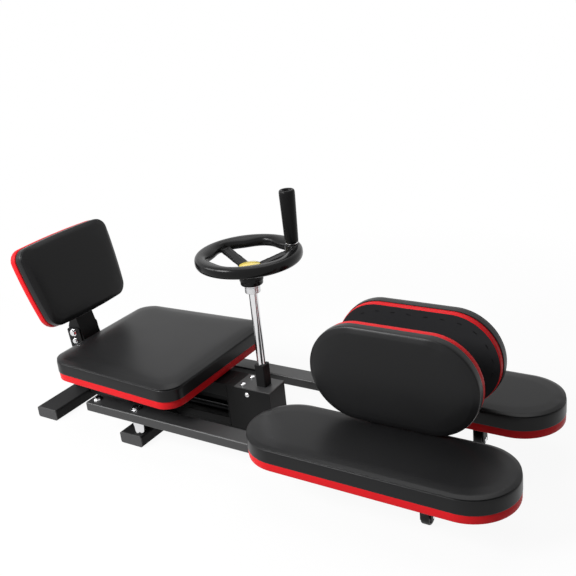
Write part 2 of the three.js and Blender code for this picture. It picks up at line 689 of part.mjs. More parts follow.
function addSeatBracket(name, x) {
  const half = seatBracket.length / 2;
  const bottom = beam.top + gap;
  const topAt = (place) => seatUnderside(place) - gap;
  const sheet = seatBracket.sheet;
  const outside = polygon([
    [x - half, bottom], [x + half, bottom], [x + half, topAt(x + half)], [x - half, topAt(x - half)],
  ]);
  const inside = polygon([
    [x - half + sheet, bottom - overrun], [x + half - sheet, bottom - overrun],
    [x + half - sheet, topAt(x + half) - sheet], [x - half + sheet, topAt(x - half) - sheet],
  ]);
  const halfWidth = seatBracket.width / 2;
  const solid = cut(
    alongY(outside, -halfWidth, halfWidth, 0, 0),
    alongY(inside, -halfWidth - overrun, halfWidth + overrun, 0, 0),
  );
  addPiece(machine, name, solid, paint);
}

function addSeat() {
  const group = new THREE.Group();
  group.position.set(-seat.rear, 0, seatRearBottom);
  group.rotation.y = seatPitch;
  machine.add(group);
  addPiece(group, 'seat_board', board(seatOutline, seat.board), redBoard).position.set(seat.length / 2, 0, 0);
  const form = cushion(seatOutline, seat.rearWidth, seatCushion);
  addPiece(group, 'seat_cushion', form, vinyl).position.set(seat.length / 2, 0, seat.board + gap);
}

// Backrest: two cheeks leaning back on the beam carry an inner bracket that tilts on the upper bolt
const backLean = THREE.MathUtils.degToRad(back.lean);
const lockBack = THREE.MathUtils.degToRad(lock.back);

function cheekOutline() {
  const lean = THREE.MathUtils.degToRad(cheek.lean);
  const foot = beam.top + gap;
  const place = (across, up) => [
    cheek.x + across * Math.cos(lean) - up * Math.sin(lean), foot + across * Math.sin(lean) + up * Math.cos(lean),
  ];
  const half = cheek.width / 2;
  const footHalf = half / Math.cos(lean);
  return polygon([
    [cheek.x - footHalf, foot], [cheek.x + footHalf, foot],
    place(half, cheek.height - cheek.corner), place(half - cheek.corner, cheek.height),
    place(cheek.corner - half, cheek.height), place(-half, cheek.height - cheek.corner),
  ]);
}

function addBackBracket() {
  const foot = beam.top + gap;
  const slot = new THREE.Shape();
  const middle = backLean - lockBack - Math.PI / 2;
  const width = lock.boltRadius + gap;
  const swing = THREE.MathUtils.degToRad(lock.swing) + Math.asin(width / lock.reach);
  slot.absarc(0, 0, lock.reach + width, middle - swing, middle + swing);
  slot.absarc(0, 0, lock.reach - width, middle + swing, middle - swing, true);
  const inside = cheek.face - cheek.sheet;
  const solid = cut(
    alongY(cheekOutline(), -cheek.face, cheek.face, 0, 0),
    block(
      cheek.x - cheek.width, cheek.x + cheek.width, -inside, inside, foot + cheek.foot, foot + cheek.height + overrun,
    ),
    rodY(hinge.boltRadius + gap, hinge.x, hinge.z, -cheek.face - overrun, cheek.face + overrun),
    alongY(slot, -cheek.face - overrun, cheek.face + overrun, hinge.x, hinge.z),
  );
  addPiece(machine, 'backrest_outer_bracket', solid, paint);
}

// A cross bolt through both cheeks: hexagon head and washer on the near side, nut on the far side
function crossBolt(size, x, z) {
  const face = cheek.face + gap;
  const washer = hinge.washer;
  const end = face + washer + size.headHeight;
  return join(
    rodY(size.boltRadius, x, z, -end, end),
    rodY(size.headRadius, x, z, -end, -face - washer, hexagonSides),
    rodY(size.headRadius, x, z, face + washer, end, hexagonSides),
    rodY(size.headRadius * washerShare, x, z, -face - washer, -face),
    rodY(size.headRadius * washerShare, x, z, face, face + washer),
  );
}

function addBackrest() {
  const group = new THREE.Group();
  group.position.set(hinge.x, 0, hinge.z);
  group.rotation.y = -backLean;
  machine.add(group);

  const lockX = -lock.reach * Math.sin(lockBack);
  const lockZ = -lock.reach * Math.cos(lockBack);
  addPiece(machine, 'backrest_pivot_bolt', crossBolt(hinge, hinge.x, hinge.z), chrome);
  addPiece(group, 'backrest_lock_bolt', crossBolt(lock, lockX, lockZ), chrome);

  const halfWidth = cheek.face - cheek.sheet - gap;
  const { webForward, behind, shoulder, below, above, sheet } = inner;
  const webBack = webForward - sheet;
  const side = polygon([
    [-behind / 2, -below], [webForward, -below], [webForward, shoulder], [0, shoulder],
    [-behind, shoulder / 2], [-behind, behind / 2 - below],
  ]);
  const bracket = cut(
    join(
      cut(
        alongY(side, -halfWidth, halfWidth, 0, 0),
        block(
          -behind - overrun, webBack, sheet - halfWidth, halfWidth - sheet, -below - overrun, shoulder + overrun,
        ),
      ),
      block(webBack, webForward, -halfWidth, halfWidth, -below, above),
    ),
    rodY(hinge.boltRadius + gap, 0, 0, -cheek.face, cheek.face),
    rodY(lock.boltRadius + gap, lockX, lockZ, -cheek.face, cheek.face),
  );
  addPiece(group, 'backrest_inner_bracket', bracket, paint);

  const faceTurn = new THREE.Group();
  faceTurn.position.set(webForward + gap, 0, back.rise + back.bow + back.height / 2);
  faceTurn.rotation.set(0, Math.PI / 2, 0);
  group.add(faceTurn);
  addPiece(faceTurn, 'backrest_board', board(flippedBack, back.board), redBoard);
  const width = (back.topWidth + back.bottomWidth) / 2;
  const form = cushion(flippedBack, Math.min(width, back.height), backCushion);
  addPiece(faceTurn, 'backrest_cushion', form, vinyl).position.z = back.board + gap;
}

// Turned about y, the outline's +x points down, so it is mirrored in both directions
function flippedBack(inset) {
  return backOutline(inset).map(([x, y]) => [-x, -y]);
}

// Handwheel: a dished rim with a waved inner side, flat spokes and a hub
const rimSteps = 72;
const sectionSteps = 8;

function rimSolid() {
  const positions = [];
  const index = [];
  for (let i = 0; i < rimSteps; i += 1) {
    const angle = i / rimSteps * Math.PI * 2;
    const innerRadius = wheel.radius - wheel.rimWidth + wheel.wave * Math.cos(wheel.waves * angle) / 2;
    const middle = (wheel.radius + innerRadius) / 2;
    const half = (wheel.radius - innerRadius) / 2;
    for (let k = 0; k < sectionSteps; k += 1) {
      const around = k / sectionSteps * Math.PI * 2;
      const radius = middle + half * Math.cos(around);
      positions.push(radius * Math.cos(angle), radius * Math.sin(angle), wheel.z + wheel.rimHeight / 2 * Math.sin(around));
      const next = (i + 1) % rimSteps * sectionSteps;
      const here = i * sectionSteps;
      const up = (k + 1) % sectionSteps;
      index.push(here + k, next + k, next + up, here + k, next + up, here + up);
    }
  }
  const geometry = new THREE.BufferGeometry();
  geometry.setAttribute('position', new THREE.BufferAttribute(new Float32Array(positions), 3));
  geometry.setIndex(index);
  return toSolid(geometry);
}

function spokeSolid(degrees) {
  const outer = wheel.radius - wheel.rimWidth / 2;
  const halfWidth = spoke.width / 2;
  const halfThick = spoke.thickness / 2;
  const end = (x, z) => [
    new THREE.Vector3(x, -halfWidth, z - halfThick), new THREE.Vector3(x, halfWidth, z - halfThick),
    new THREE.Vector3(x, halfWidth, z + halfThick), new THREE.Vector3(x, -halfWidth, z + halfThick),
  ];
  const geometry = loft([end(spoke.rootRadius, spoke.hubZ), end(outer, wheel.z)]);
  return toSolid(geometry.rotateZ(THREE.MathUtils.degToRad(degrees)));
}

function addHandwheel(group) {
  const angle = THREE.MathUtils.degToRad(spoke.first);
  const handleX = handle.radius * Math.cos(angle);
  const handleY = handle.radius * Math.sin(angle);
  const bore = post.radius + gap;
  const hubBody = turned([
    [0, hub.bottom], [hub.radius - gap * 2, hub.bottom], [hub.radius, hub.bottom + overrun],
    [hub.radius, hub.neck], [hub.radius - overrun, hub.top], [0, hub.top],
  ], 0, 0);
  let solid = join(rimSolid(), hubBody);
  for (let i = 0; i < spoke.count; i += 1) {
    solid = join(solid, spokeSolid(spoke.first + i * 360 / spoke.count));
  }
  const bossBottom = wheel.z - wheel.rimHeight / 2;
  solid = join(solid, rodZ(handle.bossRadius, handleX, handleY, bossBottom, handle.bossTop));
  solid = cut(
    solid,
    rodZ(bore, 0, 0, hub.bottom - overrun, post.top + gap),
    rodZ(hub.wellRadius, 0, 0, hub.top - hub.wellDepth, hub.top + spoke.thickness),
    rodZ(spindle.radius + gap, handleX, handleY, handle.bossTop - spindle.rootDepth, handle.bossTop + overrun),
  );
  addPiece(group, 'handwheel', solid, blackPlastic);

  const capBottom = hub.top - hub.wellDepth + gap;
  const capShape = turned([
    [0, capBottom], [wheelCap.radius, capBottom], [wheelCap.radius, capBottom + wheelCap.rim],
    [wheelCap.radius * capShoulderShare, capBottom + wheelCap.rim + wheelCap.dome * capShoulderShare],
    [0, capBottom + wheelCap.rim + wheelCap.dome],
  ], 0, 0);
  addPiece(group, 'wheel_cap', capShape, yellow);

  const ringTop = handle.bottom - gap;
  const headBottom = handle.top - grip.wellDepth + gap;
  const pin = join(
    rodZ(spindle.radius, handleX, handleY, handle.bossTop - spindle.rootDepth + gap, headBottom + spindle.headHeight / 2),
    rodZ(spindle.ringRadius, handleX, handleY, handle.bossTop + gap, ringTop),
    rodZ(spindle.headRadius, handleX, handleY, headBottom, headBottom + spindle.headHeight),
  );
  addPiece(group, 'handle_spindle', pin, chrome);

  const { bottomRadius, topRadius, wellRadius, wellDepth, edge } = grip;
  const gripShape = turned([
    [handle.bore, handle.bottom], [bottomRadius - edge, handle.bottom], [bottomRadius, handle.bottom + edge],
    [topRadius, handle.top - edge * 2], [topRadius - edge, handle.top], [wellRadius, handle.top],
    [wellRadius, handle.top - wellDepth], [handle.bore, handle.top - wellDepth], [handle.bore, handle.bottom],
  ], handleX, handleY);
  addPiece(group, 'handle_grip', gripShape, blackPlastic);
}

function addPost(group) {
  const gearTop = screw.z + gear.pitchRadius + gear.hub;
  const journalBottom = screw.z + gear.pitchRadius - gear.face;
  const shoulder = gearTop + gap;
  const postSolid = join(
    rodZ(post.journalRadius, 0, 0, journalBottom, shoulder + overrun),
    rodZ(post.radius, 0, 0, shoulder, post.top),
  );
  addPiece(group, 'wheel_post', postSolid, chrome);
  const collarTop = hub.bottom - gap;
  const ring = cut(
    rodZ(collar.radius, 0, 0, collarTop - collar.height, collarTop),
    rodZ(post.radius + gap, 0, 0, collarTop - collar.height - overrun, collarTop + overrun),
  );
  addPiece(group, 'post_collar', ring, chrome);
}

addCrossTube('rear_cross_tube', rearTube, []);
addCrossTube('pivot_cross_tube', pivotTube, [-halfSpacing, halfSpacing]);
for (const [side, tag] of [[-1, 'near'], [1, 'far']]) {
  addTubeCap(`rear_tube_cap_${tag}`, rearTube, side);
  addTubeCap(`pivot_tube_cap_${tag}`, pivotTube, side);
  addLeg(side, tag);
  addLink(side, tag);
  addLegPads(side, tag);
  addUprightBracket(side, tag);
  addCaster(side, tag);
}
addBeam();
addGearbox();
addScrews();
addSeatBracket('seat_rear_bracket', seatBracket.rearX);
addSeatBracket('seat_front_bracket', seatBracket.frontX);
addSeat();
addBackBracket();
addBackrest();
addScrew();
addNut();

const wheelGroup = new THREE.Group();
wheelGroup.position.x = post.x;
machine.add(wheelGroup);
addPost(wheelGroup);
addHandwheel(wheelGroup);
addGears(wheelGroup);

export default machine;
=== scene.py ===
"""Leg stretching machine with a handwheel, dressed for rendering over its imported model.

Lengths in the classes are millimetres unless a name says otherwise. As in the part's source, x is
counted forward from the axis of the two leg pivots, y from the middle plane (near side negative)
and z from the floor. `point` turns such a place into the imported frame, in metres.
"""

import logging
import math
from collections.abc import Callable, Iterator
from contextlib import contextmanager
from dataclasses import dataclass, field
from enum import Enum

import bmesh
import bpy
from mathutils import Matrix, Vector, noise


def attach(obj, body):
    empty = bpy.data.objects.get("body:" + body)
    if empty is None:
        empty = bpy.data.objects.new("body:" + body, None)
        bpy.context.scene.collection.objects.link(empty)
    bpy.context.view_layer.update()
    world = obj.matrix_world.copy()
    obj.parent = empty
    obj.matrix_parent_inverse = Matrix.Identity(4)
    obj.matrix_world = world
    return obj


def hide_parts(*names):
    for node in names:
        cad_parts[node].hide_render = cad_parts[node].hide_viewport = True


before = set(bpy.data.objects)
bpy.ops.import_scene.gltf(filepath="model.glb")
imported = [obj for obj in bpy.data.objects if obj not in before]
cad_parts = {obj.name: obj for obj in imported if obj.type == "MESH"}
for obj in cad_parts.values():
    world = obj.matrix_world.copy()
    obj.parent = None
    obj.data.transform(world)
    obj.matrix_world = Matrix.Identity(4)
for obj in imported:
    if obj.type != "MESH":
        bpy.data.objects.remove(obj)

log = logging.getLogger("leg_stretcher")

MM = 0.001
PIVOT_X = -296.9
LEG_SPACING = 154.0

Piece = bpy.types.Object
Material = bpy.types.Material
Socket = bpy.types.NodeSocket
Triple = tuple[float, float, float]
Profile = list[tuple[float, float]]


class Side(Enum):
    """The two legs, named as seen from the camera."""

    NEAR = -1
    FAR = 1

    @property
    def tag(self) -> str:
        """The word that ends the names of this side's nodes."""
        return self.name.lower()


def point(x: float, y: float, z: float) -> Vector:
    """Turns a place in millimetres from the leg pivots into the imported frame, in metres."""
    return Vector(((x + PIVOT_X) * MM, y * MM, z * MM))


def turn_x(degrees: float) -> Matrix:
    """A turn about the x axis."""
    return Matrix.Rotation(math.radians(degrees), 4, "X")


def turn_y(degrees: float) -> Matrix:
    """A turn about the y axis."""
    return Matrix.Rotation(math.radians(degrees), 4, "Y")


def turn_z(degrees: float) -> Matrix:
    """A turn about the z axis."""
    return Matrix.Rotation(math.radians(degrees), 4, "Z")


def at(x: float, y: float, z: float) -> Matrix:
    """A move to a place given in millimetres from the leg pivots."""
    return Matrix.Translation(point(x, y, z))


def by(x: float, y: float, z: float) -> Matrix:
    """A move by a distance in millimetres."""
    return Matrix.Translation(Vector((x, y, z)) * MM)


# Modelling moves


def deselect_all() -> None:
    """Clears the selection of objects."""
    for item in list(bpy.context.selected_objects):
        item.select_set(False)


def make_active(piece: Piece) -> None:
    """Selects one object and nothing else."""
    deselect_all()
    piece.select_set(True)
    bpy.context.view_layer.objects.active = piece


@contextmanager
def editing(piece: Piece, mode: str = "FACE", whole: bool = False) -> Iterator[None]:
    """Opens a mesh in edit mode with nothing or everything selected, and closes it again.

    Args:
        piece: The object to edit.
        mode: VERT, EDGE or FACE.
        whole: Whether everything is selected.
    """
    make_active(piece)
    bpy.ops.object.mode_set(mode="EDIT")
    bpy.ops.mesh.select_mode(type=mode)
    bpy.ops.mesh.select_all(action="SELECT" if whole else "DESELECT")
    yield
    bpy.ops.object.mode_set(mode="OBJECT")


def pick_faces(piece: Piece, test: Callable[[Vector, Vector], bool]) -> None:
    """Selects the faces of a mesh in edit mode by their centre and normal.

    Args:
        piece: The object in edit mode.
        test: Tells from a face's centre and normal whether it is selected.
    """
    mesh = bmesh.from_edit_mesh(piece.data)
    bpy.ops.mesh.select_all(action="DESELECT")
    mesh.normal_update()
    for face in mesh.faces:
        if test(face.calc_center_median(), face.normal):
            face.select_set(True)
    mesh.select_flush_mode()
    bmesh.update_edit_mesh(piece.data)


def use_modifier(piece: Piece, kind: str, **settings: object) -> None:
    """Adds a modifier to a piece and applies it.

    Args:
        piece: The object that gets the modifier.
        kind: The modifier's type.
        **settings: The modifier's settings by name.
    """
    make_active(piece)
    modifier = piece.modifiers.new(kind.lower(), kind)
    for name, value in settings.items():
        setattr(modifier, name, value)
    bpy.ops.object.modifier_apply(modifier=modifier.name)


def place_piece(piece: Piece, matrix: Matrix) -> None:
    """Moves a piece from its own drawing place to the machine and leaves its origin at zero."""
    piece.matrix_world = matrix @ piece.matrix_world
    make_active(piece)
    bpy.ops.object.transform_apply(location=True, rotation=True, scale=True)


def recalculate(piece: Piece) -> None:
    """Merges doubled points and turns all faces outward."""
    with editing(piece, whole=True):
        bpy.ops.mesh.remove_doubles(threshold=0.00002)
        bpy.ops.mesh.normals_make_consistent(inside=False)


def smooth_shading(piece: Piece, degrees: float = 35.0, weighted: bool = True) -> None:
    """Shades a piece smooth below an angle, with flat faces kept flat.

    Args:
        piece: The object to shade.
        degrees: The angle between two faces from which their edge stays sharp.
        weighted: Whether large faces set the normals, as on bevelled sheet metal.
    """
    make_active(piece)
    bpy.ops.object.shade_smooth_by_angle(angle=math.radians(degrees))
    if weighted:
        use_modifier(piece, "WEIGHTED_NORMAL", keep_sharp=True, weight=80)


def join_pieces(name: str, pieces: list[Piece]) -> Piece:
    """Joins several objects into one.

    Args:
        name: The name of the joined object.
        pieces: The objects, of which the first one stays.

    Returns:
        The joined object.
    """
    deselect_all()
    for piece in pieces:
        piece.select_set(True)
    bpy.context.view_layer.objects.active = pieces[0]
    if len(pieces) > 1:
        bpy.ops.object.join()
    pieces[0].name = name
    return pieces[0]


def copy_piece(piece: Piece, name: str, matrix: Matrix | None = None) -> Piece:
    """Copies a piece with a mesh of its own.

    Args:
        piece: The object to copy.
        name: The copy's name.
        matrix: Where the copy goes, seen from the original.

    Returns:
        The copy.
    """
    copy = piece.copy()
    copy.data = piece.data.copy()
    copy.name = name
    bpy.context.collection.objects.link(copy)
    if matrix is not None:
        copy.data.transform(matrix)
    return copy


def mirrored(piece: Piece, name: str) -> Piece:
    """Copies a piece to the other side of the middle plane."""
    copy = copy_piece(piece, name, Matrix.Scale(-1, 4, Vector((0, 1, 0))))
    with editing(copy, whole=True):
        bpy.ops.mesh.flip_normals()
    return copy


def cut_by(piece: Piece, tool: Piece, operation: str = "DIFFERENCE") -> None:
    """Cuts a piece by another one, or joins them, and removes the tool."""
    use_modifier(piece, "BOOLEAN", object=tool, operation=operation, solver="EXACT")
    bpy.data.objects.remove(tool, do_unlink=True)


def block(name: str, length: float, width: float, height: float) -> Piece:
    """Makes a block centred on the origin, with its sizes in millimetres."""
    deselect_all()
    bpy.ops.mesh.primitive_cube_add(size=1)
    piece = bpy.context.active_object
    piece.name = name
    piece.scale = (length * MM, width * MM, height * MM)
    bpy.ops.object.transform_apply(location=True, rotation=True, scale=True)
    return piece


def rounded_sheet(name: str, length: float, width: float, corner: float, cell: float) -> Piece:
    """Makes a flat grid of quads with rounded corners, centred on the origin.

    Args:
        name: The sheet's name.
        length: Size along x in metres.
        width: Size along y in metres.
        corner: Radius of the corners in metres.
        cell: Size of a quad in metres.

    Returns:
        The sheet.
    """
    across = 2 * max(2, round(width / cell / 2))
    along = 2 * max(2, round(length / cell / 2))
    deselect_all()
    bpy.ops.mesh.primitive_grid_add(x_subdivisions=along, y_subdivisions=across, size=1)
    sheet = bpy.context.active_object
    sheet.name = name
    sheet.scale = (length, width, 1)
    bpy.ops.object.transform_apply(location=True, rotation=True, scale=True)
    for vertex in sheet.data.vertices:
        u = (abs(vertex.co.x) - length / 2 + corner) / corner
        v = (abs(vertex.co.y) - width / 2 + corner) / corner
        if u > 0 and v > 0:
            x = length / 2 - corner + corner * u * math.sqrt(1 - v * v / 2)
            y = width / 2 - corner + corner * v * math.sqrt(1 - u * u / 2)
            vertex.co.x = math.copysign(x, vertex.co.x)
            vertex.co.y = math.copysign(y, vertex.co.y)
    with editing(sheet, "VERT", whole=True):
        bpy.ops.mesh.region_to_loop()
        bpy.ops.mesh.select_all(action="INVERT")
        bpy.ops.mesh.vertices_smooth(factor=0.5, repeat=12)
    return sheet


def raise_rings(sheet: Piece, length: float, width: float, rings: Profile) -> None:
    """Turns a flat sheet into a closed slab, ring by ring.

    Args:
        sheet: The sheet, at height zero and inset by the first ring's inset.
        length: Full size along x in metres.
        width: Full size along y in metres.
        rings: Height and inset of each ring in metres, from the bottom up.
    """
    with editing(sheet, whole=True):
        height, inset = 0.0, 0.0
        for index, (new_height, new_inset) in enumerate(rings):
            if index:
                rise = (0, 0, new_height - height)
                bpy.ops.mesh.extrude_region_move(TRANSFORM_OT_translate={"value": rise})
            scale_x = (length / 2 - new_inset) / (length / 2 - inset)
            scale_y = (width / 2 - new_inset) / (width / 2 - inset)
            bpy.ops.transform.resize(value=(scale_x, scale_y, 1), center_override=(0, 0, 0))
            height, inset = new_height, new_inset
    recalculate(sheet)


def turned(name: str, profile: Profile, sides: int = 48, hollow: bool = False) -> Piece:
    """Turns a profile round the z axis.

    Args:
        name: The piece's name.
        profile: Radius and height of each step in millimetres, from one end to the other.
        sides: How many sides the turned piece has.
        hollow: Whether the profile closes on itself round a bore.

    Returns:
        The closed turned piece.
    """
    deselect_all()
    radius, height = profile[0]
    bpy.ops.mesh.primitive_circle_add(vertices=sides, radius=radius * MM, location=(0, 0, height * MM))
    piece = bpy.context.active_object
    piece.name = name
    bpy.ops.object.transform_apply(location=True, rotation=True, scale=True)
    steps = profile[1:] + ([profile[0]] if hollow else [])
    with editing(piece, "EDGE", whole=True):
        if not hollow:
            bpy.ops.mesh.edge_face_add()
            bpy.ops.mesh.select_all(action="SELECT")
        last = (radius, height)
        for new_radius, new_height in steps:
            rise = (0, 0, (new_height - last[1]) * MM)
            bpy.ops.mesh.extrude_region_move(TRANSFORM_OT_translate={"value": rise})
            share = new_radius / last[0]
            bpy.ops.transform.resize(value=(share, share, 1), center_override=(0, 0, new_height * MM))
            last = (new_radius, new_height)
    recalculate(piece)
    return piece


def lathe(
    name: str, profile: Profile, place: Matrix, sides: int = 96, degrees: float = 32.0,
    hollow: bool = False, weighted: bool = True,
) -> Piece:
    """Turns a profile, shades it smooth and puts it in place.

    Args:
        name: The piece's name.
        profile: Radius and height of each step in millimetres.
        place: Where it goes.
        sides: How many sides it has.
        degrees: The angle from which an edge stays sharp.
        hollow: Whether the profile closes on itself round a bore.
        weighted: Whether large faces set the normals.

    Returns:
        The piece at its place.
    """
    piece = turned(name, profile, sides, hollow)
    smooth_shading(piece, degrees, weighted)
    place_piece(piece, place)
    return piece


def beveled_copy(node: str, width: float, segments: int = 2, degrees: float = 30.0) -> Piece:
    """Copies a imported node, merges its loose triangles and rounds its edges.

    Args:
        node: The node's name.
        width: How wide the rounding is in millimetres.
        segments: How many steps it has.
        degrees: The angle from which an edge is rounded.

    Returns:
        The copy, at its place.
    """
    piece = copy_piece(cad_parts[node], f"{node}_shape")
    piece.hide_render = False
    piece.hide_viewport = False
    piece.parent = None
    piece.matrix_world = Matrix.Identity(4)
    with editing(piece, whole=True):
        bpy.ops.mesh.remove_doubles(threshold=0.00001)
        bpy.ops.mesh.dissolve_limited(angle_limit=math.radians(1.5))
    use_modifier(
        piece, "BEVEL", width=width * MM, segments=segments, limit_method="ANGLE",
        angle_limit=math.radians(degrees), use_clamp_overlap=True, miter_outer="MITER_ARC",
    )
    smooth_shading(piece)
    return piece


def stand_in(piece: Piece, body: str, finishes: list[Material], nodes: list[str]) -> None:
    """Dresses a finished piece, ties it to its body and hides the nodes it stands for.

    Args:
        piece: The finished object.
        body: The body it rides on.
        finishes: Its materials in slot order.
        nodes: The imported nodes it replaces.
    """
    if len(piece.data.materials) != len(finishes):
        piece.data.materials.clear()
        for finish in finishes:
            piece.data.materials.append(finish)
    for index, finish in enumerate(finishes):
        piece.data.materials[index] = finish
    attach(piece, body)
    if nodes:
        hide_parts(*nodes)
    log.info("%s rides on %s, %d faces", piece.name, body, len(piece.data.polygons))


# Finishes


class Graph:
    """Builds one material's nodes."""

    def __init__(self, name: str) -> None:
        """Starts a material with a Principled shader on its output."""
        self.material = bpy.data.materials.new(name)
        self.material.use_nodes = True
        self.nodes = self.material.node_tree.nodes
        self.links = self.material.node_tree.links
        self.shader = self.nodes["Principled BSDF"]
        self.place = self.add("ShaderNodeTexCoord").outputs["Object"]

    def add(self, kind: str, **inputs: object) -> bpy.types.Node:
        """Adds a node and sets its inputs or links them.

        Args:
            kind: The node's type.
            **inputs: Values or sockets by input name, with spaces written as underscores.

        Returns:
            The node.
        """
        node = self.nodes.new(kind)
        for name, value in inputs.items():
            self.put(node.inputs[name.replace("_", " ")], value)
        return node

    def put(self, socket: Socket, value: object) -> None:
        """Sets a socket to a value, or links another socket to it."""
        if isinstance(value, bpy.types.NodeSocket):
            self.links.new(value, socket)
        else:
            socket.default_value = value

    def noise(self, scale: float, detail: float = 2.0, stretch: Triple | None = None) -> Socket:
        """Gives noise on the piece's own coordinates.

        Args:
            scale: Cells per metre.
            detail: How many octaves it has.
            stretch: Scale along each axis, for brushed or turned metal.

        Returns:
            The noise's value.
        """
        place = self.place
        if stretch is not None:
            place = self.add("ShaderNodeMapping", Vector=place, Scale=stretch).outputs["Vector"]
        return self.add("ShaderNodeTexNoise", Vector=place, Scale=scale, Detail=detail).outputs[0]

    def span(self, value: Socket, low: float, high: float) -> Socket:
        """Maps a texture's usual range to two limits."""
        node = self.add("ShaderNodeMapRange", Value=value, To_Min=low, To_Max=high)
        self.put(node.inputs["From Min"], 0.3)
        self.put(node.inputs["From Max"], 0.7)
        return node.outputs["Result"]

    def blend(self, share: Socket, first: tuple[float, ...], second: tuple[float, ...]) -> Socket:
        """Mixes two colours by a texture."""
        node = self.add("ShaderNodeMix")
        node.data_type = "RGBA"
        colours = [socket for socket in node.inputs if socket.type == "RGBA"]
        self.put(colours[0], (*first, 1))
        self.put(colours[1], (*second, 1))
        self.put(node.inputs["Factor"], share)
        return next(socket for socket in node.outputs if socket.type == "RGBA")

    def bump(self, height: Socket, strength: float, distance: float, below: Socket | None = None) -> Socket:
        """Raises the surface by a texture, on top of another bump if there is one."""
        node = self.add("ShaderNodeBump", Height=height, Strength=strength, Distance=distance)
        if below is not None:
            self.put(node.inputs["Normal"], below)
        return node.outputs["Normal"]

    def finish(self, **inputs: object) -> Material:
        """Sets the shader's inputs and gives the material back."""
        for name, value in inputs.items():
            self.put(self.shader.inputs[name.replace("_", " ")], value)
        return self.material


@dataclass(frozen=True)
class Vinyl:
    """Matte upholstery vinyl with a fine pebbled grain."""

    name: str
    colour: Triple
    worn: Triple
    roughness: tuple[float, float] = (0.29, 0.36)
    grain: float = 0.9
    depth: float = 0.05
    level: float = 0.17

    def make(self) -> Material:
        """Builds the material."""
        graph = Graph(self.name)
        pebbles = graph.add("ShaderNodeTexVoronoi", Vector=graph.place, Scale=1 / (self.grain * MM))
        pebbles.feature = "SMOOTH_F1"
        creases = graph.noise(0.25 / (self.grain * MM), 4)
        soft = graph.bump(creases, 0.12, self.depth * 3 * MM)
        normal = graph.bump(pebbles.outputs["Distance"], 0.35, self.depth * MM, soft)
        handled = graph.noise(7, 3)
        return graph.finish(
            Base_Color=graph.blend(handled, self.colour, self.worn),
            Roughness=graph.span(handled, *self.roughness),
            Specular_IOR_Level=self.level,
            Normal=normal,
        )


@dataclass(frozen=True)
class Backing:
    """Black spun cloth stapled to the back of the boards."""

    name: str
    colour: Triple = (0.012, 0.012, 0.013)

    def make(self) -> Material:
        """Builds the material."""
        graph = Graph(self.name)
        fibres = graph.noise(900, 5)
        dimples = graph.add("ShaderNodeTexVoronoi", Vector=graph.place, Scale=650).outputs["Distance"]
        normal = graph.bump(dimples, 0.5, 0.12 * MM, graph.bump(fibres, 0.6, 0.15 * MM))
        lighter = tuple(value * 2.2 for value in self.colour)
        return graph.finish(
            Base_Color=graph.blend(fibres, self.colour, lighter),
            Roughness=graph.span(fibres, 0.8, 0.95),
            Specular_IOR_Level=0.2,
            Normal=normal,
        )


@dataclass(frozen=True)
class Paint:
    """Powder coated steel with a faint orange peel."""

    name: str
    colour: Triple
    roughness: tuple[float, float] = (0.36, 0.46)
    level: float = 0.5
    peel: float = 1.4

    def make(self) -> Material:
        """Builds the material."""
        graph = Graph(self.name)
        peel = graph.noise(1 / (self.peel * MM), 2)
        dust = graph.noise(2600, 2)
        broad = graph.noise(14, 4)
        normal = graph.bump(dust, 0.12, 0.03 * MM, graph.bump(peel, 0.22, 0.06 * MM))
        lighter = tuple(value * 1.35 for value in self.colour)
        return graph.finish(
            Base_Color=graph.blend(broad, self.colour, lighter),
            Roughness=graph.span(broad, *self.roughness),
            Specular_IOR_Level=self.level,
            Normal=normal,
        )


@dataclass(frozen=True)
class Moulding:
    """Black moulded plastic with a fine spark grain and a soft sheen."""

    name: str
    colour: Triple
    roughness: tuple[float, float] = (0.26, 0.36)
    level: float = 0.5

    def make(self) -> Material:
        """Builds the material."""
        graph = Graph(self.name)
        grain = graph.noise(1800, 3)
        flow = graph.noise(22, 4)
        normal = graph.bump(grain, 0.10, 0.05 * MM, graph.bump(flow, 0.15, 0.3 * MM))
        lighter = tuple(value * 1.4 for value in self.colour)
        return graph.finish(
            Base_Color=graph.blend(flow, self.colour, lighter),
            Roughness=graph.span(flow, *self.roughness),
            Specular_IOR_Level=self.level,
            Normal=normal,
        )


@dataclass(frozen=True)
class Metal:
    """Bare or plated metal, with marks drawn out along one or two axes."""

    name: str
    colour: Triple
    roughness: tuple[float, float]
    stretch: Triple = (1, 1, 1)
    scale: float = 300
    marks: float = 0.03

    def make(self) -> Material:
        """Builds the material."""
        graph = Graph(self.name)
        lines = graph.noise(self.scale, 4, self.stretch)
        cloud = graph.noise(30, 3)
        darker = tuple(value * 0.86 for value in self.colour)
        return graph.finish(
            Base_Color=graph.blend(cloud, self.colour, darker),
            Roughness=graph.span(lines, *self.roughness),
            Metallic=1.0,
            Normal=graph.bump(lines, self.marks, 0.05 * MM),
        )


@dataclass(frozen=True)
class Enamel:
    """Plain colour under a clear glossy dome."""

    name: str
    colour: Triple
    rim: Triple

    def make(self) -> Material:
        """Builds the material."""
        graph = Graph(self.name)
        flakes = graph.noise(900, 3)
        cloud = graph.noise(35, 2)
        return graph.finish(
            Base_Color=graph.blend(graph.span(cloud, 0, 1), self.colour, self.rim),
            Roughness=graph.span(flakes, 0.30, 0.38),
            Specular_IOR_Level=0.5,
            Coat_Weight=1.0,
            Coat_Roughness=0.06,
            Normal=graph.bump(flakes, 0.05, 0.03 * MM),
        )


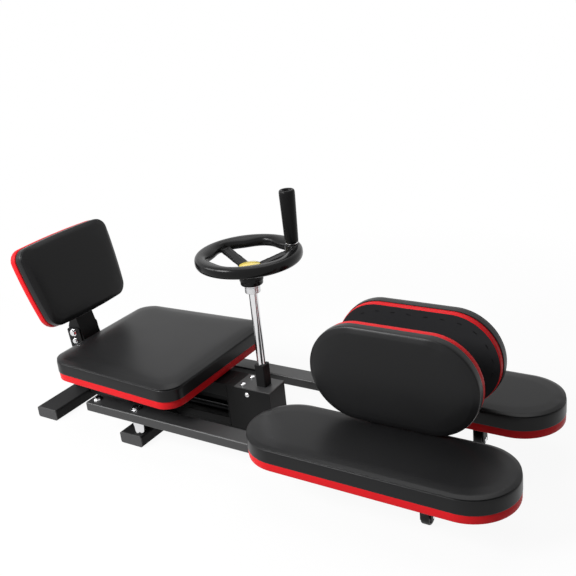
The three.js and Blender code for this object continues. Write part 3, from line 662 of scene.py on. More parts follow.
@dataclass(frozen=True)
class Finishes:
    """All finishes of the machine."""

    vinyl: Material
    red: Material
    backing: Material
    paint: Material
    dark: Material
    cover: Material
    matte: Material
    caps: Material
    moulding: Material
    grip: Material
    caster: Material
    chrome: Material
    brushed: Material
    steel: Material
    greased: Material
    yellow: Material

    @classmethod
    def make(cls) -> "Finishes":
        """Builds every finish once."""
        return cls(
            vinyl=Vinyl("black_vinyl", (0.0085, 0.0085, 0.009), (0.0115, 0.0115, 0.012)).make(),
            red=Vinyl(
                "red_vinyl_band", (0.72, 0.012, 0.018), (0.64, 0.010, 0.014),
                roughness=(0.40, 0.50), grain=0.8, level=0.12,
            ).make(),
            backing=Backing("stapled_backing").make(),
            paint=Paint("black_powder_coat", (0.022, 0.022, 0.0225)).make(),
            # The black powder coat again, made darker for the beam, gearbox, socket, brackets and under
            # strips: painted shade.
            dark=Paint("deep_black_powder_coat", (0.008, 0.008, 0.0082), (0.34, 0.44), 0.09).make(),
            # The black powder coat again, made lighter for the gearbox cover, whose top shows: painted light.
            cover=Paint("gearbox_cover_coat", (0.030, 0.030, 0.0305), (0.38, 0.48), 0.5).make(),
            # A rougher black coat for the cross tubes and link bars; its darker base colour is painted shade,
            # its roughness is real.
            matte=Paint("matte_tube_paint", (0.010, 0.010, 0.0105), (0.55, 0.65), 0.12).make(),
            caps=Paint("end_cap_plastic", (0.042, 0.042, 0.043), (0.5, 0.62), 0.3, 0.8).make(),
            moulding=Moulding("moulded_wheel_plastic", (0.004, 0.004, 0.0042), (0.20, 0.27), 0.17).make(),
            grip=Moulding("handle_plastic", (0.0035, 0.0035, 0.0037), (0.30, 0.38), 0.12).make(),
            caster=Moulding("caster_nylon", (0.006, 0.006, 0.0062), (0.35, 0.48), 0.2).make(),
            chrome=Metal("polished_chrome", (0.80, 0.80, 0.81), (0.06, 0.13), marks=0.01).make(),
            brushed=Metal(
                "turned_collar_steel", (0.72, 0.72, 0.73), (0.20, 0.36), (0.04, 0.04, 1), 2600, 0.12,
            ).make(),
            steel=Metal("machined_steel", (0.52, 0.52, 0.53), (0.26, 0.42), (1, 0.05, 1), 1200, 0.08).make(),
            # Near-black steel for the lead screw, darkened as painted shade for the dark recess it runs in;
            # the staples use it too.
            greased=Metal(
                "greased_screw_steel", (0.025, 0.025, 0.026), (0.38, 0.5), (0.3, 1, 1), 900, 0.05,
            ).make(),
            yellow=Enamel("yellow_cap_dome", (0.86, 0.68, 0.09), (0.80, 0.60, 0.06)).make(),
        )


# Studio


@dataclass(frozen=True)
class Camera:
    """The camera, where the photograph's was."""

    azimuth: float = 34.1
    elevation: float = 20.2
    roll: float = -6.1
    lens: float = 52.49
    shift: tuple[float, float] = (0.0120, -0.0319)
    place: Triple = (1.0617, -1.4595, 1.0972)

    def build(self) -> None:
        """Adds the camera and makes it the scene's own."""
        data = bpy.data.cameras.new("camera")
        data.sensor_width = 36
        data.lens = self.lens
        data.shift_x, data.shift_y = self.shift
        data.clip_start, data.clip_end = 0.05, 60
        camera = bpy.data.objects.new("camera", data)
        bpy.context.collection.objects.link(camera)
        a, e, r = (math.radians(value) for value in (self.azimuth, self.elevation, self.roll))
        forward = Vector((-math.sin(a) * math.cos(e), math.cos(a) * math.cos(e), -math.sin(e)))
        right = Vector((math.cos(a), math.sin(a), 0))
        up = right.cross(forward)
        across = right * math.cos(r) + up * math.sin(r)
        upward = up * math.cos(r) - right * math.sin(r)
        turn = Matrix((across, upward, -forward)).transposed().to_4x4()
        camera.matrix_world = Matrix.Translation(self.place) @ turn
        bpy.context.scene.camera = camera


@dataclass(frozen=True)
class Lamp:
    """A square soft box that points at the machine."""

    name: str
    place: Triple
    size: float
    power: float
    target: Triple = (0.0, 0.0, 0.15)

    def build(self) -> None:
        """Adds the lamp."""
        data = bpy.data.lights.new(self.name, "AREA")
        data.shape = "SQUARE"
        data.size = self.size
        data.energy = self.power
        lamp = bpy.data.objects.new(self.name, data)
        bpy.context.collection.objects.link(lamp)
        lamp.location = self.place
        aim = Vector(self.target) - Vector(self.place)
        lamp.rotation_euler = aim.to_track_quat("-Z", "Y").to_euler()


@dataclass(frozen=True)
class Studio:
    """White room: a pale floor that keeps the shadow, soft lamps and an even sky."""

    ambient: float = 0.15
    backdrop: float = 1.0
    floor_share: float = 0.93
    floor_size: float = 40.0
    floor_seen: float = 0.86
    floor_lit: float = 0.45
    shadow_reach: float = 1.0
    shadow_end: float = 1.7
    lamps: tuple[Lamp, ...] = (
        Lamp("key_lamp", (-1.35, -2.4, 2.3), 1.25, 120),
        Lamp("top_lamp", (-0.2, 0.7, 2.9), 2.2, 30),
        Lamp("left_lamp", (-2.3, -1.4, 1.7), 1.0, 28),
    )

    def build(self) -> None:
        """Adds the sky, the floor and the lamps."""
        self.sky()
        self.floor()
        for lamp in self.lamps:
            lamp.build()
        bpy.context.scene.view_settings.view_transform = "Standard"

    def sky(self) -> None:
        """Makes the sky white where it is seen or mirrored, and dimmer as a light."""
        world = bpy.data.worlds.new("white_room")
        bpy.context.scene.world = world
        world.use_nodes = True
        tree = world.node_tree
        background = tree.nodes["Background"]
        background.inputs["Color"].default_value = (1, 1, 1, 1)
        seen = self.seen(tree)
        strength = self.ramp(tree, seen, (0.0, 1.0), (self.ambient, self.backdrop))
        tree.links.new(strength, background.inputs["Strength"])

    def seen(self, tree: bpy.types.NodeTree) -> Socket:
        """Gives one for rays of the camera, of mirrors and of glass, and zero for light."""
        path = tree.nodes.new("ShaderNodeLightPath")
        value = path.outputs["Is Camera Ray"]
        for name in ("Is Glossy Ray", "Is Transmission Ray"):
            most = tree.nodes.new("ShaderNodeMath")
            most.operation = "MAXIMUM"
            tree.links.new(value, most.inputs[0])
            tree.links.new(path.outputs[name], most.inputs[1])
            value = most.outputs[0]
        return value

    def ramp(
        self, tree: bpy.types.NodeTree, value: Socket, span: tuple[float, float], to: tuple[float, float],
    ) -> Socket:
        """Maps a value from one span to another, held at both ends.

        Args:
            tree: The node tree.
            value: The value to map.
            span: Where the value starts and ends.
            to: What it becomes there.

        Returns:
            The mapped value.
        """
        node = tree.nodes.new("ShaderNodeMapRange")
        tree.links.new(value, node.inputs["Value"])
        node.inputs["From Min"].default_value, node.inputs["From Max"].default_value = span
        node.inputs["To Min"].default_value, node.inputs["To Max"].default_value = to
        return node.outputs["Result"]

    def floor(self) -> None:
        """Adds the pale floor, which shows white and keeps part of the shadow."""
        deselect_all()
        bpy.ops.mesh.primitive_plane_add(size=self.floor_size, location=(0, 0, -0.0005))
        floor = bpy.context.active_object
        floor.name = "studio_floor"
        material = bpy.data.materials.new("pale_floor")
        material.use_nodes = True
        tree = material.node_tree
        shader = tree.nodes["Principled BSDF"]
        shader.inputs["Roughness"].default_value = 0.9
        shader.inputs["Specular IOR Level"].default_value = 0.0
        seen = self.seen(tree)
        grey = self.ramp(tree, seen, (0.0, 1.0), (self.floor_lit, self.floor_seen))
        tree.links.new(grey, shader.inputs["Base Color"])
        glow = tree.nodes.new("ShaderNodeEmission")
        glow.inputs["Strength"].default_value = 1.0
        place = tree.nodes.new("ShaderNodeTexCoord").outputs["Object"]
        far = tree.nodes.new("ShaderNodeVectorMath")
        far.operation = "LENGTH"
        tree.links.new(place, far.inputs[0])
        edge = (self.shadow_reach, self.shadow_end)
        spread = self.ramp(tree, far.outputs["Value"], edge, (self.floor_share, 1.0))
        share = tree.nodes.new("ShaderNodeMath")
        share.operation = "MULTIPLY"
        tree.links.new(spread, share.inputs[0])
        tree.links.new(seen, share.inputs[1])
        mix = tree.nodes.new("ShaderNodeMixShader")
        tree.links.new(share.outputs[0], mix.inputs[0])
        tree.links.new(shader.outputs[0], mix.inputs[1])
        tree.links.new(glow.outputs[0], mix.inputs[2])
        tree.links.new(mix.outputs[0], tree.nodes["Material Output"].inputs["Surface"])
        floor.data.materials.append(material)


# Pads


@dataclass(frozen=True)
class Cushion:
    """Heights of a cushion over its board, and how its cover is drawn over the foam."""

    crease: float
    edge: float
    roll: float
    crown: float
    bulge: float = 1.0
    tuck: float = 2.5
    groove: float = 3.2
    dip: float = 0.4
    lap: float = 1.5

    def foot(self) -> Profile:
        """Gives the rings where the cover meets the board: lapped over its edge, or tucked in."""
        if self.lap:
            under = [(0.0, 1.0), (-self.lap * 0.5, -0.2), (-self.lap, -0.45)]
            return under + [(0.4 - self.lap, -0.1 - self.bulge)]
        return [(0.0, self.tuck), (1.0, self.tuck * 0.45)]

    def rings(self) -> Profile:
        """Gives height and inset of each ring of the cover in metres, from the board up."""
        out, seam = -self.bulge, self.crease
        side = self.foot() + [
            (seam * 0.2, 0.1 + out * 0.9), (seam * 0.5, out),
            (seam - 4.8, 0.2 + out), (seam - 2.8, 0.5 + out), (seam - 1.5, 1.1 + out),
            (seam - 0.8, self.groove + out), (seam + 0.5, self.groove + 0.3 + out),
            (seam + 1.1, 1.2 + out), (seam + 1.8, 0.7 + out),
        ]
        base = seam + 1.8
        for step in range(1, 8):
            angle = step / 7 * math.pi / 2
            side.append((
                base + (self.edge - base) * math.sin(angle), out + 0.7 + self.roll * (1 - math.cos(angle)),
            ))
        for share, away in ((0.45, 3), (0.9, 7), (1.0, 11), (0.7, 16), (0.25, 22)):
            side.append((self.edge - self.dip * share, out + 0.7 + self.roll + away))
        return [(height * MM, inset * MM) for height, inset in side]


@dataclass
class Pad:
    """A padded board: a red banded board with stapled backing and a vinyl cushion."""

    name: str
    body: str
    length: float
    width: float
    corner: float
    board: float
    cushion: Cushion
    cell: float
    place: Matrix
    finishes: Finishes
    narrowing: float = 0.0
    bow: float = 0.0
    fill: float = 0.8
    pressure: float = 4.0
    tension: float = 12.0
    bending: float = 0.6
    frames: int = 20
    evening: int = 8

    def shaped(self, sheet: Piece) -> None:
        """Gives the sheet its narrowing towards -x and the bow of its sides.

        Args:
            sheet: The flat sheet or the slab made from it.
        """
        if not self.narrowing and not self.bow:
            return
        half_length, half_width = self.length * MM / 2, self.width * MM / 2
        for vertex in sheet.data.vertices:
            up = vertex.co.x / half_length
            across = vertex.co.y / half_width
            vertex.co.x += self.bow * MM * (1 - across * across) * up
            vertex.co.y += self.bow * MM * (1 - up * up) * across
            vertex.co.y *= 1 + self.narrowing * up

    def slab(self, name: str, rings: Profile, cell: float) -> Piece:
        """Makes a closed slab with the pad's outline.

        Args:
            name: The slab's name.
            rings: Height and inset of each ring in metres.
            cell: Size of a quad in millimetres.

        Returns:
            The slab, standing on the origin.
        """
        length, width = self.length * MM, self.width * MM
        sheet = rounded_sheet(name, length, width, self.corner * MM, cell * MM)
        raise_rings(sheet, length, width, rings)
        self.shaped(sheet)
        return sheet

    def build_board(self) -> None:
        """Makes the board with its red band and the cloth on its back."""
        top = self.board
        rings = [
            (0.0, 3.0), (0.25, 1.2), (1.1, 0.3), (2.4, 0.0), (top / 2, -0.15),
            (top - 2.4, 0.0), (top - 1.1, 0.3), (top - 0.25, 1.2), (top, 3.0),
        ]
        board = self.slab(f"{self.name}_board_wrap", [(z * MM, i * MM) for z, i in rings], self.cell * 1.5)
        board.data.materials.append(self.finishes.red)
        board.data.materials.append(self.finishes.backing)
        for face in board.data.polygons:
            if face.normal.z < -0.5 and face.center.z < 0.3 * MM:
                face.material_index = 1
        self.pucker(board)
        make_active(board)
        bpy.ops.object.shade_smooth_by_angle(angle=math.radians(60))
        place_piece(board, self.place)
        finishes = [self.finishes.red, self.finishes.backing]
        stand_in(board, self.body, finishes, [self.node("board")])

    def pucker(self, board: Piece) -> None:
        """Draws the backing cloth slightly in and out between its staples."""
        for vertex in board.data.vertices:
            if vertex.co.z < 0.05 * MM:
                wave = noise.noise(vertex.co * 45) + 0.5 * noise.noise(vertex.co * 120)
                vertex.co.z += 0.25 * MM + 0.3 * MM * wave

    def node(self, part: str) -> str:
        """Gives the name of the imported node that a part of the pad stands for."""
        words = self.name.split("_")
        if len(words) > 1:
            return f"{words[0]}_{part}_{words[1]}"
        return f"{words[0]}_{part}"

    def build_cushion(self) -> None:
        """Makes the cushion, blows its cover up over the foam and draws its seam."""
        cushion = self.slab(f"{self.name}_cushion_cover", self.cushion.rings(), self.cell)
        self.inflate(cushion)
        self.soften(cushion)
        use_modifier(cushion, "SUBSURF", levels=1, render_levels=1)
        make_active(cushion)
        bpy.ops.object.shade_smooth()
        lift = Matrix.Translation((0, 0, (self.board + 0.3) * MM))
        place_piece(cushion, self.place @ lift)
        stand_in(cushion, self.body, [self.finishes.vinyl], [self.node("cushion")])

    def inflate(self, cushion: Piece) -> None:
        """Blows the cover up with cloth pressure, held at its seam and wall, and evens it out.

        Args:
            cushion: The cushion before it is placed.
        """
        crown = self.cushion.crown * MM
        rest = [vertex.co.copy() for vertex in cushion.data.vertices]
        base = (self.cushion.crease + 1.4) * MM
        free = [start.z > base for start in rest]
        held = cushion.vertex_groups.new(name="held")
        held.add([i for i, moves in enumerate(free) if not moves], 1.0, "REPLACE")
        cloth = cushion.modifiers.new("cover", "CLOTH")
        cloth.settings.vertex_group_mass = "held"
        cloth.settings.use_pressure = True
        cloth.settings.uniform_pressure_force = self.pressure
        cloth.settings.tension_stiffness = self.tension
        cloth.settings.compression_stiffness = self.tension
        cloth.settings.bending_stiffness = self.bending
        cloth.settings.effector_weights.gravity = 0
        cloth.point_cache.frame_start, cloth.point_cache.frame_end = 1, self.frames
        for step in range(1, self.frames + 1):
            bpy.context.scene.frame_set(step)
        make_active(cushion)
        bpy.ops.object.modifier_apply(modifier=cloth.name)
        bpy.context.scene.frame_set(1)
        cushion.vertex_groups.clear()
        moves = []
        for vertex, start in zip(cushion.data.vertices, rest):
            move = vertex.co - start
            moves.append(move.normalized() * crown * math.tanh(move.length / crown))
        for vertex, start, move in zip(cushion.data.vertices, rest, self.evened(cushion, moves, free)):
            vertex.co = start + move

    def evened(self, cushion: Piece, moves: list[Vector], free: list[bool]) -> list[Vector]:
        """Evens the moves of the cover out over its mesh, as foam under it does.

        Args:
            cushion: The cushion whose mesh says which vertices are neighbours.
            moves: How far the cloth moved each vertex.
            free: Whether each vertex may move at all.

        Returns:
            The evened move of each vertex, none where the cover is held.
        """
        near: list[list[int]] = [[i] for i in range(len(moves))]
        for edge in cushion.data.edges:
            first, second = edge.vertices
            near[first].append(second)
            near[second].append(first)
        still = Vector((0, 0, 0))
        for _ in range(self.evening):
            moves = [
                sum((moves[j] for j in near[i]), still.copy()) / len(near[i]) if free[i] else still
                for i in range(len(moves))
            ]
        return moves

    def soften(self, cushion: Piece) -> None:
        """Adds the small waves of the cover along its seam.

        Args:
            cushion: The cushion before it is placed.
        """
        seam = self.cushion.crease * MM
        for vertex in cushion.data.vertices:
            near = math.exp(-((vertex.co.z - seam) / (7 * MM)) ** 2)
            outward = Vector((vertex.co.x, vertex.co.y, 0)).normalized()
            wave = noise.noise(Vector((vertex.co.x, vertex.co.y, 0.37)) * 38)
            vertex.co += outward * wave * near * 0.3 * MM

    def build(self) -> None:
        """Builds the board and the cushion."""
        self.build_board()
        self.build_cushion()


@dataclass
class Upholstery:
    """The six pads of the machine."""

    finishes: Finishes
    pad_spacing: float = 156.2
    seat_pitch: float = 0.45
    back_lean: float = 16.5

    def pads(self) -> list[Pad]:
        """Gives the pads with their sizes and places."""
        found = []
        for side in Side:
            body = f"leg_{side.tag}"
            found.append(Pad(
                f"leg_{side.tag}", body, length=596, width=193.6, corner=96.7, board=20.6,
                cushion=Cushion(crease=31, edge=34.5, roll=7.5, crown=2.2, bulge=0.8),
                cell=7, place=at(658.6, side.value * self.pad_spacing, 98.9), finishes=self.finishes,
            ))
            found.append(Pad(
                f"upright_{side.tag}", body, length=377, width=213, corner=106.4, board=17.2,
                cushion=Cushion(crease=19, edge=24, roll=10, crown=5, bulge=2.0),
                cell=7, place=at(665.5, side.value * 46.8, 268.3) @ turn_x(-side.value * 90),
                finishes=self.finishes,
            ))
        found.append(Pad(
            "seat", "frame", length=407.4, width=394.0, corner=46, board=21,
            cushion=Cushion(crease=29.5, edge=34.5, roll=12, crown=5, bulge=1.5, tuck=3),
            cell=8, place=at(-237.1, -2, 152.6) @ turn_y(self.seat_pitch) @ by(203.7, 0, 0),
            finishes=self.finishes, narrowing=18.5 / 394.0,
        ))
        leaning = at(-307.5, 0, 202.1) @ turn_y(-self.back_lean) @ by(26.2, 0, 155.9)
        leaning = leaning @ turn_y(90) @ turn_z(180)
        found.append(Pad(
            "backrest", "backrest", length=219, width=290.5, corner=30, board=18,
            cushion=Cushion(crease=24, edge=29.5, roll=11, crown=6, bulge=-1.0, tuck=4, lap=0),
            cell=7, place=leaning, finishes=self.finishes, narrowing=20.5 / 290.5, bow=5,
        ))
        return found

    def build(self) -> None:
        """Builds every pad."""
        for pad in self.pads():
            pad.build()


# Steel frame


@dataclass
class SteelWork:
    """Tubes, beam, gearbox and brackets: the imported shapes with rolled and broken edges."""

    finishes: Finishes
    edges: dict[str, float] = field(default_factory=lambda: {
        "rear_cross_tube": 0.5, "pivot_cross_tube": 0.5, "main_beam": 1.4, "gearbox_housing": 1.4,
        "gearbox_cover": 0.8, "post_socket": 2.6, "seat_front_bracket": 1.0, "seat_rear_bracket": 1.0,
        "backrest_outer_bracket": 0.9,
    })
    plastic_caps: tuple[str, ...] = ("rear_tube_cap", "pivot_tube_cap")
    arm_edges: dict[str, float] = field(default_factory=lambda: {
        "leg_rail": 0.5, "upright_bracket": 0.9, "caster_fork": 0.6,
    })
    # Dark strips under the beam and gearbox, put where there is only shade: painted shade.
    lip_spans: tuple[tuple[float, float], ...] = ((-289.0, -52.0), (21.0, 194.0), (196.0, 320.0))
    lip_width: float = 67.4
    lip_height: float = 13.0
    lip_middle: float = 24.0
    lip_fold: float = 5.0

    def build(self) -> None:
        """Dresses each steel node."""
        for node, width in self.edges.items():
            self.dress(node, "frame", width)
        self.dress("backrest_inner_bracket", "backrest", 0.9)
        # The dark strips under the beam are painted shade.
        self.under_lips()
        for side in Side:
            for stem in self.plastic_caps:
                node = f"{stem}_{side.tag}"
                stand_in(beveled_copy(node, 1.1, 3), "frame", [self.finishes.caps], [node])
            for stem, width in self.arm_edges.items():
                self.dress(f"{stem}_{side.tag}", f"leg_{side.tag}", width)

    def dress(self, node: str, body: str, width: float) -> None:
        """Replaces a node by its copy with rounded edges."""
        stand_in(beveled_copy(node, width), body, [self.finish_of(node)], [node])

    def finish_of(self, node: str) -> Material:
        """Gives the coat of a steel node, with darker copies of the black coat as painted shade and a lighter
        one on the gearbox cover as painted light.
        """
        if node.endswith("cross_tube"):
            return self.finishes.matte
        if node == "gearbox_cover":
            return self.finishes.cover
        return self.finishes.paint if node.startswith(("leg_rail", "upright")) else self.finishes.dark

    def under_lips(self) -> None:
        """Makes folded dark strips under the beam and the gearbox that fill the gaps to the rails with black:
        painted shade.
        """
        for index, (rear, front) in enumerate(self.lip_spans):
            lip = block(f"beam_lip_{index}", front - rear, self.lip_width, self.lip_height)
            with editing(lip):
                pick_faces(lip, lambda place, normal: normal.z < -0.9)
                bpy.ops.mesh.inset(thickness=self.lip_fold * MM)
                bpy.ops.mesh.extrude_region_move(TRANSFORM_OT_translate={"value": (0, 0, self.lip_fold * MM)})
            use_modifier(
                lip, "BEVEL", width=0.9 * MM, segments=2, limit_method="ANGLE", angle_limit=math.radians(30),
            )
            smooth_shading(lip, 35)
            place_piece(lip, at((rear + front) / 2, 0, self.lip_middle))
            stand_in(lip, "frame", [self.finishes.dark], [])


# Hardware


def hexagon(name: str, radius: float, low: float, high: float, crowned: tuple[bool, bool]) -> Piece:
    """Makes a hexagon head or nut with its corners turned off.

    Args:
        name: The piece's name.
        radius: Radius over the corners in millimetres.
        low: Height of the lower face.
        high: Height of the upper face.
        crowned: Whether the lower and the upper corners are turned off.

    Returns:
        The hexagon, standing on the z axis.
    """
    deselect_all()
    bpy.ops.mesh.primitive_cylinder_add(
        vertices=6, radius=radius * MM, depth=(high - low) * MM, location=(0, 0, (low + high) / 2 * MM),
    )
    piece = bpy.context.active_object
    piece.name = name
    bpy.ops.object.transform_apply(location=True, rotation=True, scale=True)
    flat = radius * 0.85
    drop = radius * 0.14
    profile = [(flat, low), (radius * 1.02, low + drop)] if crowned[0] else [(radius * 1.02, low)]
    profile += [(radius * 1.02, high - drop), (flat, high)] if crowned[1] else [(radius * 1.02, high)]
    cut_by(piece, turned(f"{name}_crown", profile, 48), "INTERSECT")
    return piece


@dataclass(frozen=True)
class HexBolt:
    """A plated hexagon bolt on its washer, with a nut where it ends in one."""

    shank: float
    head: float
    head_height: float
    washer: float
    washer_height: float
    length: float
    nut_top: float = 0.0
    nut_height: float = 0.0
    far_washer: bool = False

    def build(self, name: str, place: Matrix) -> Piece:
        """Makes the bolt with its washer's seat at height zero and its head up.

        Args:
            name: The bolt's name.
            place: Where the washer's seat and the axis go.

        Returns:
            The bolt at its place.
        """
        top = self.washer_height
        parts = [
            hexagon(name, self.head, top, top + self.head_height, (False, True)),
            self.ring(f"{name}_washer", 0.0),
            turned(f"{name}_shank", [
                (self.shank * 0.75, -self.length), (self.shank, self.shank * 0.3 - self.length),
                (self.shank, top),
            ], 32),
        ]
        if self.nut_height:
            low = -self.nut_top - self.nut_height
            parts.append(hexagon(f"{name}_nut", self.head, low, -self.nut_top, (True, not self.far_washer)))
        if self.far_washer:
            parts.append(self.ring(f"{name}_far_washer", -self.nut_top))
        bolt = join_pieces(name, parts)
        use_modifier(
            bolt, "BEVEL", width=0.25 * MM, segments=2, limit_method="ANGLE", angle_limit=math.radians(28),
        )
        smooth_shading(bolt, 40)
        place_piece(bolt, place)
        return bolt

    def ring(self, name: str, low: float) -> Piece:
        """Makes a washer with rolled edges, from a height up."""
        edge = 0.35
        high = low + self.washer_height
        return turned(name, [
            (self.washer - edge, low), (self.washer, low + edge),
            (self.washer, high - edge), (self.washer - edge, high),
        ], 48)


@dataclass(frozen=True)
class DomeScrew:
    """A plated dome head screw with a hexagon socket."""

    shank: float = 3.0
    head: float = 6.5
    height: float = 5.0
    length: float = 11.0
    socket: float = 2.5
    depth: float = 2.6

    def build(self, name: str, place: Matrix) -> Piece:
        """Makes the screw with its head's seat at height zero.

        Args:
            name: The screw's name.
            place: Where the seat and the axis go.

        Returns:
            The screw at its place.
        """
        profile = [(self.shank * 0.8, -self.length), (self.shank, 0.8 - self.length), (self.shank, 0.0)]
        profile += [(self.head - 0.3, 0.0), (self.head, 0.4)]
        for step in range(1, 8):
            angle = step / 8 * math.pi / 2
            profile.append((self.head * math.cos(angle), 0.6 + (self.height - 0.6) * math.sin(angle)))
        screw = turned(name, profile, 40)
        deselect_all()
        bpy.ops.mesh.primitive_cylinder_add(
            vertices=6, radius=self.socket * MM, depth=self.depth * 2 * MM, location=(0, 0, self.height * MM),
        )
        cut_by(screw, bpy.context.active_object)
        smooth_shading(screw, 32, weighted=False)
        place_piece(screw, place)
        return screw


@dataclass
class Fasteners:
    """All bolts and screws that show."""

    finishes: Finishes
    lever: float = 128.2
    rail_seat: float = 95.8
    cheek_seat: float = 35.3
    hinge: tuple[float, float] = (-307.5, 202.1)
    lock_reach: float = 24.3
    lock_angle: float = 4.1

    def build(self) -> None:
        """Builds and dresses every fastener."""
        pivot = HexBolt(6, 10.5, 5.6, 12.5, 1.4, 83.8, 68.6, 8)
        link = HexBolt(5, 9.2, 5.4, 12, 1.4, 39.9, 31.9, 6)
        for side in Side:
            y = side.value * LEG_SPACING
            body = f"leg_{side.tag}"
            turn = turn_z(12 * side.value)
            bolt = pivot.build(f"pivot_hex_{side.tag}", at(0, y, self.rail_seat) @ turn)
            self.dress(bolt, body, f"pivot_bolt_{side.tag}")
            place = at(-self.lever, y, self.rail_seat) @ turn_z(20)
            self.dress(link.build(f"link_hex_{side.tag}", place), body, f"link_bolt_{side.tag}")
            self.screws(side)
        x, z = self.hinge
        angle = math.radians(self.lock_angle)
        lock_x, lock_z = x + self.lock_reach * math.sin(angle), z - self.lock_reach * math.cos(angle)
        across = self.cheek_seat * 2
        big = HexBolt(5, 8.8, 5, 10.6, 1.5, across + 6.5, across, 6.5, True)
        small = HexBolt(3.6, 6.6, 4, 7.9, 1.5, across + 5.5, across, 5.5, True)
        near = -self.cheek_seat
        hinge = big.build("backrest_hinge_hex", at(x, near, z) @ turn_x(90))
        self.dress(hinge, "frame", "backrest_pivot_bolt")
        lock = small.build("backrest_lock_hex", at(lock_x, near, lock_z) @ turn_x(90))
        self.dress(lock, "backrest", "backrest_lock_bolt")

    def screws(self, side: Side) -> None:
        """Builds the gearbox cover's screw and side screw of one side."""
        screw = DomeScrew()
        cover = screw.build(f"cover_dome_{side.tag}", at(238.1, side.value * 19.5, 142.5))
        self.dress(cover, "frame", f"cover_screw_{side.tag}")
        outward = at(257.1, side.value * 34.2, 125.7) @ turn_x(-90 * side.value)
        beside = screw.build(f"side_dome_{side.tag}", outward)
        self.dress(beside, "frame", f"side_screw_{side.tag}")

    def dress(self, piece: Piece, body: str, node: str) -> None:
        """Gives a fastener its plating, its body and its node."""
        stand_in(piece, body, [self.finishes.chrome], [node])


# Handwheel


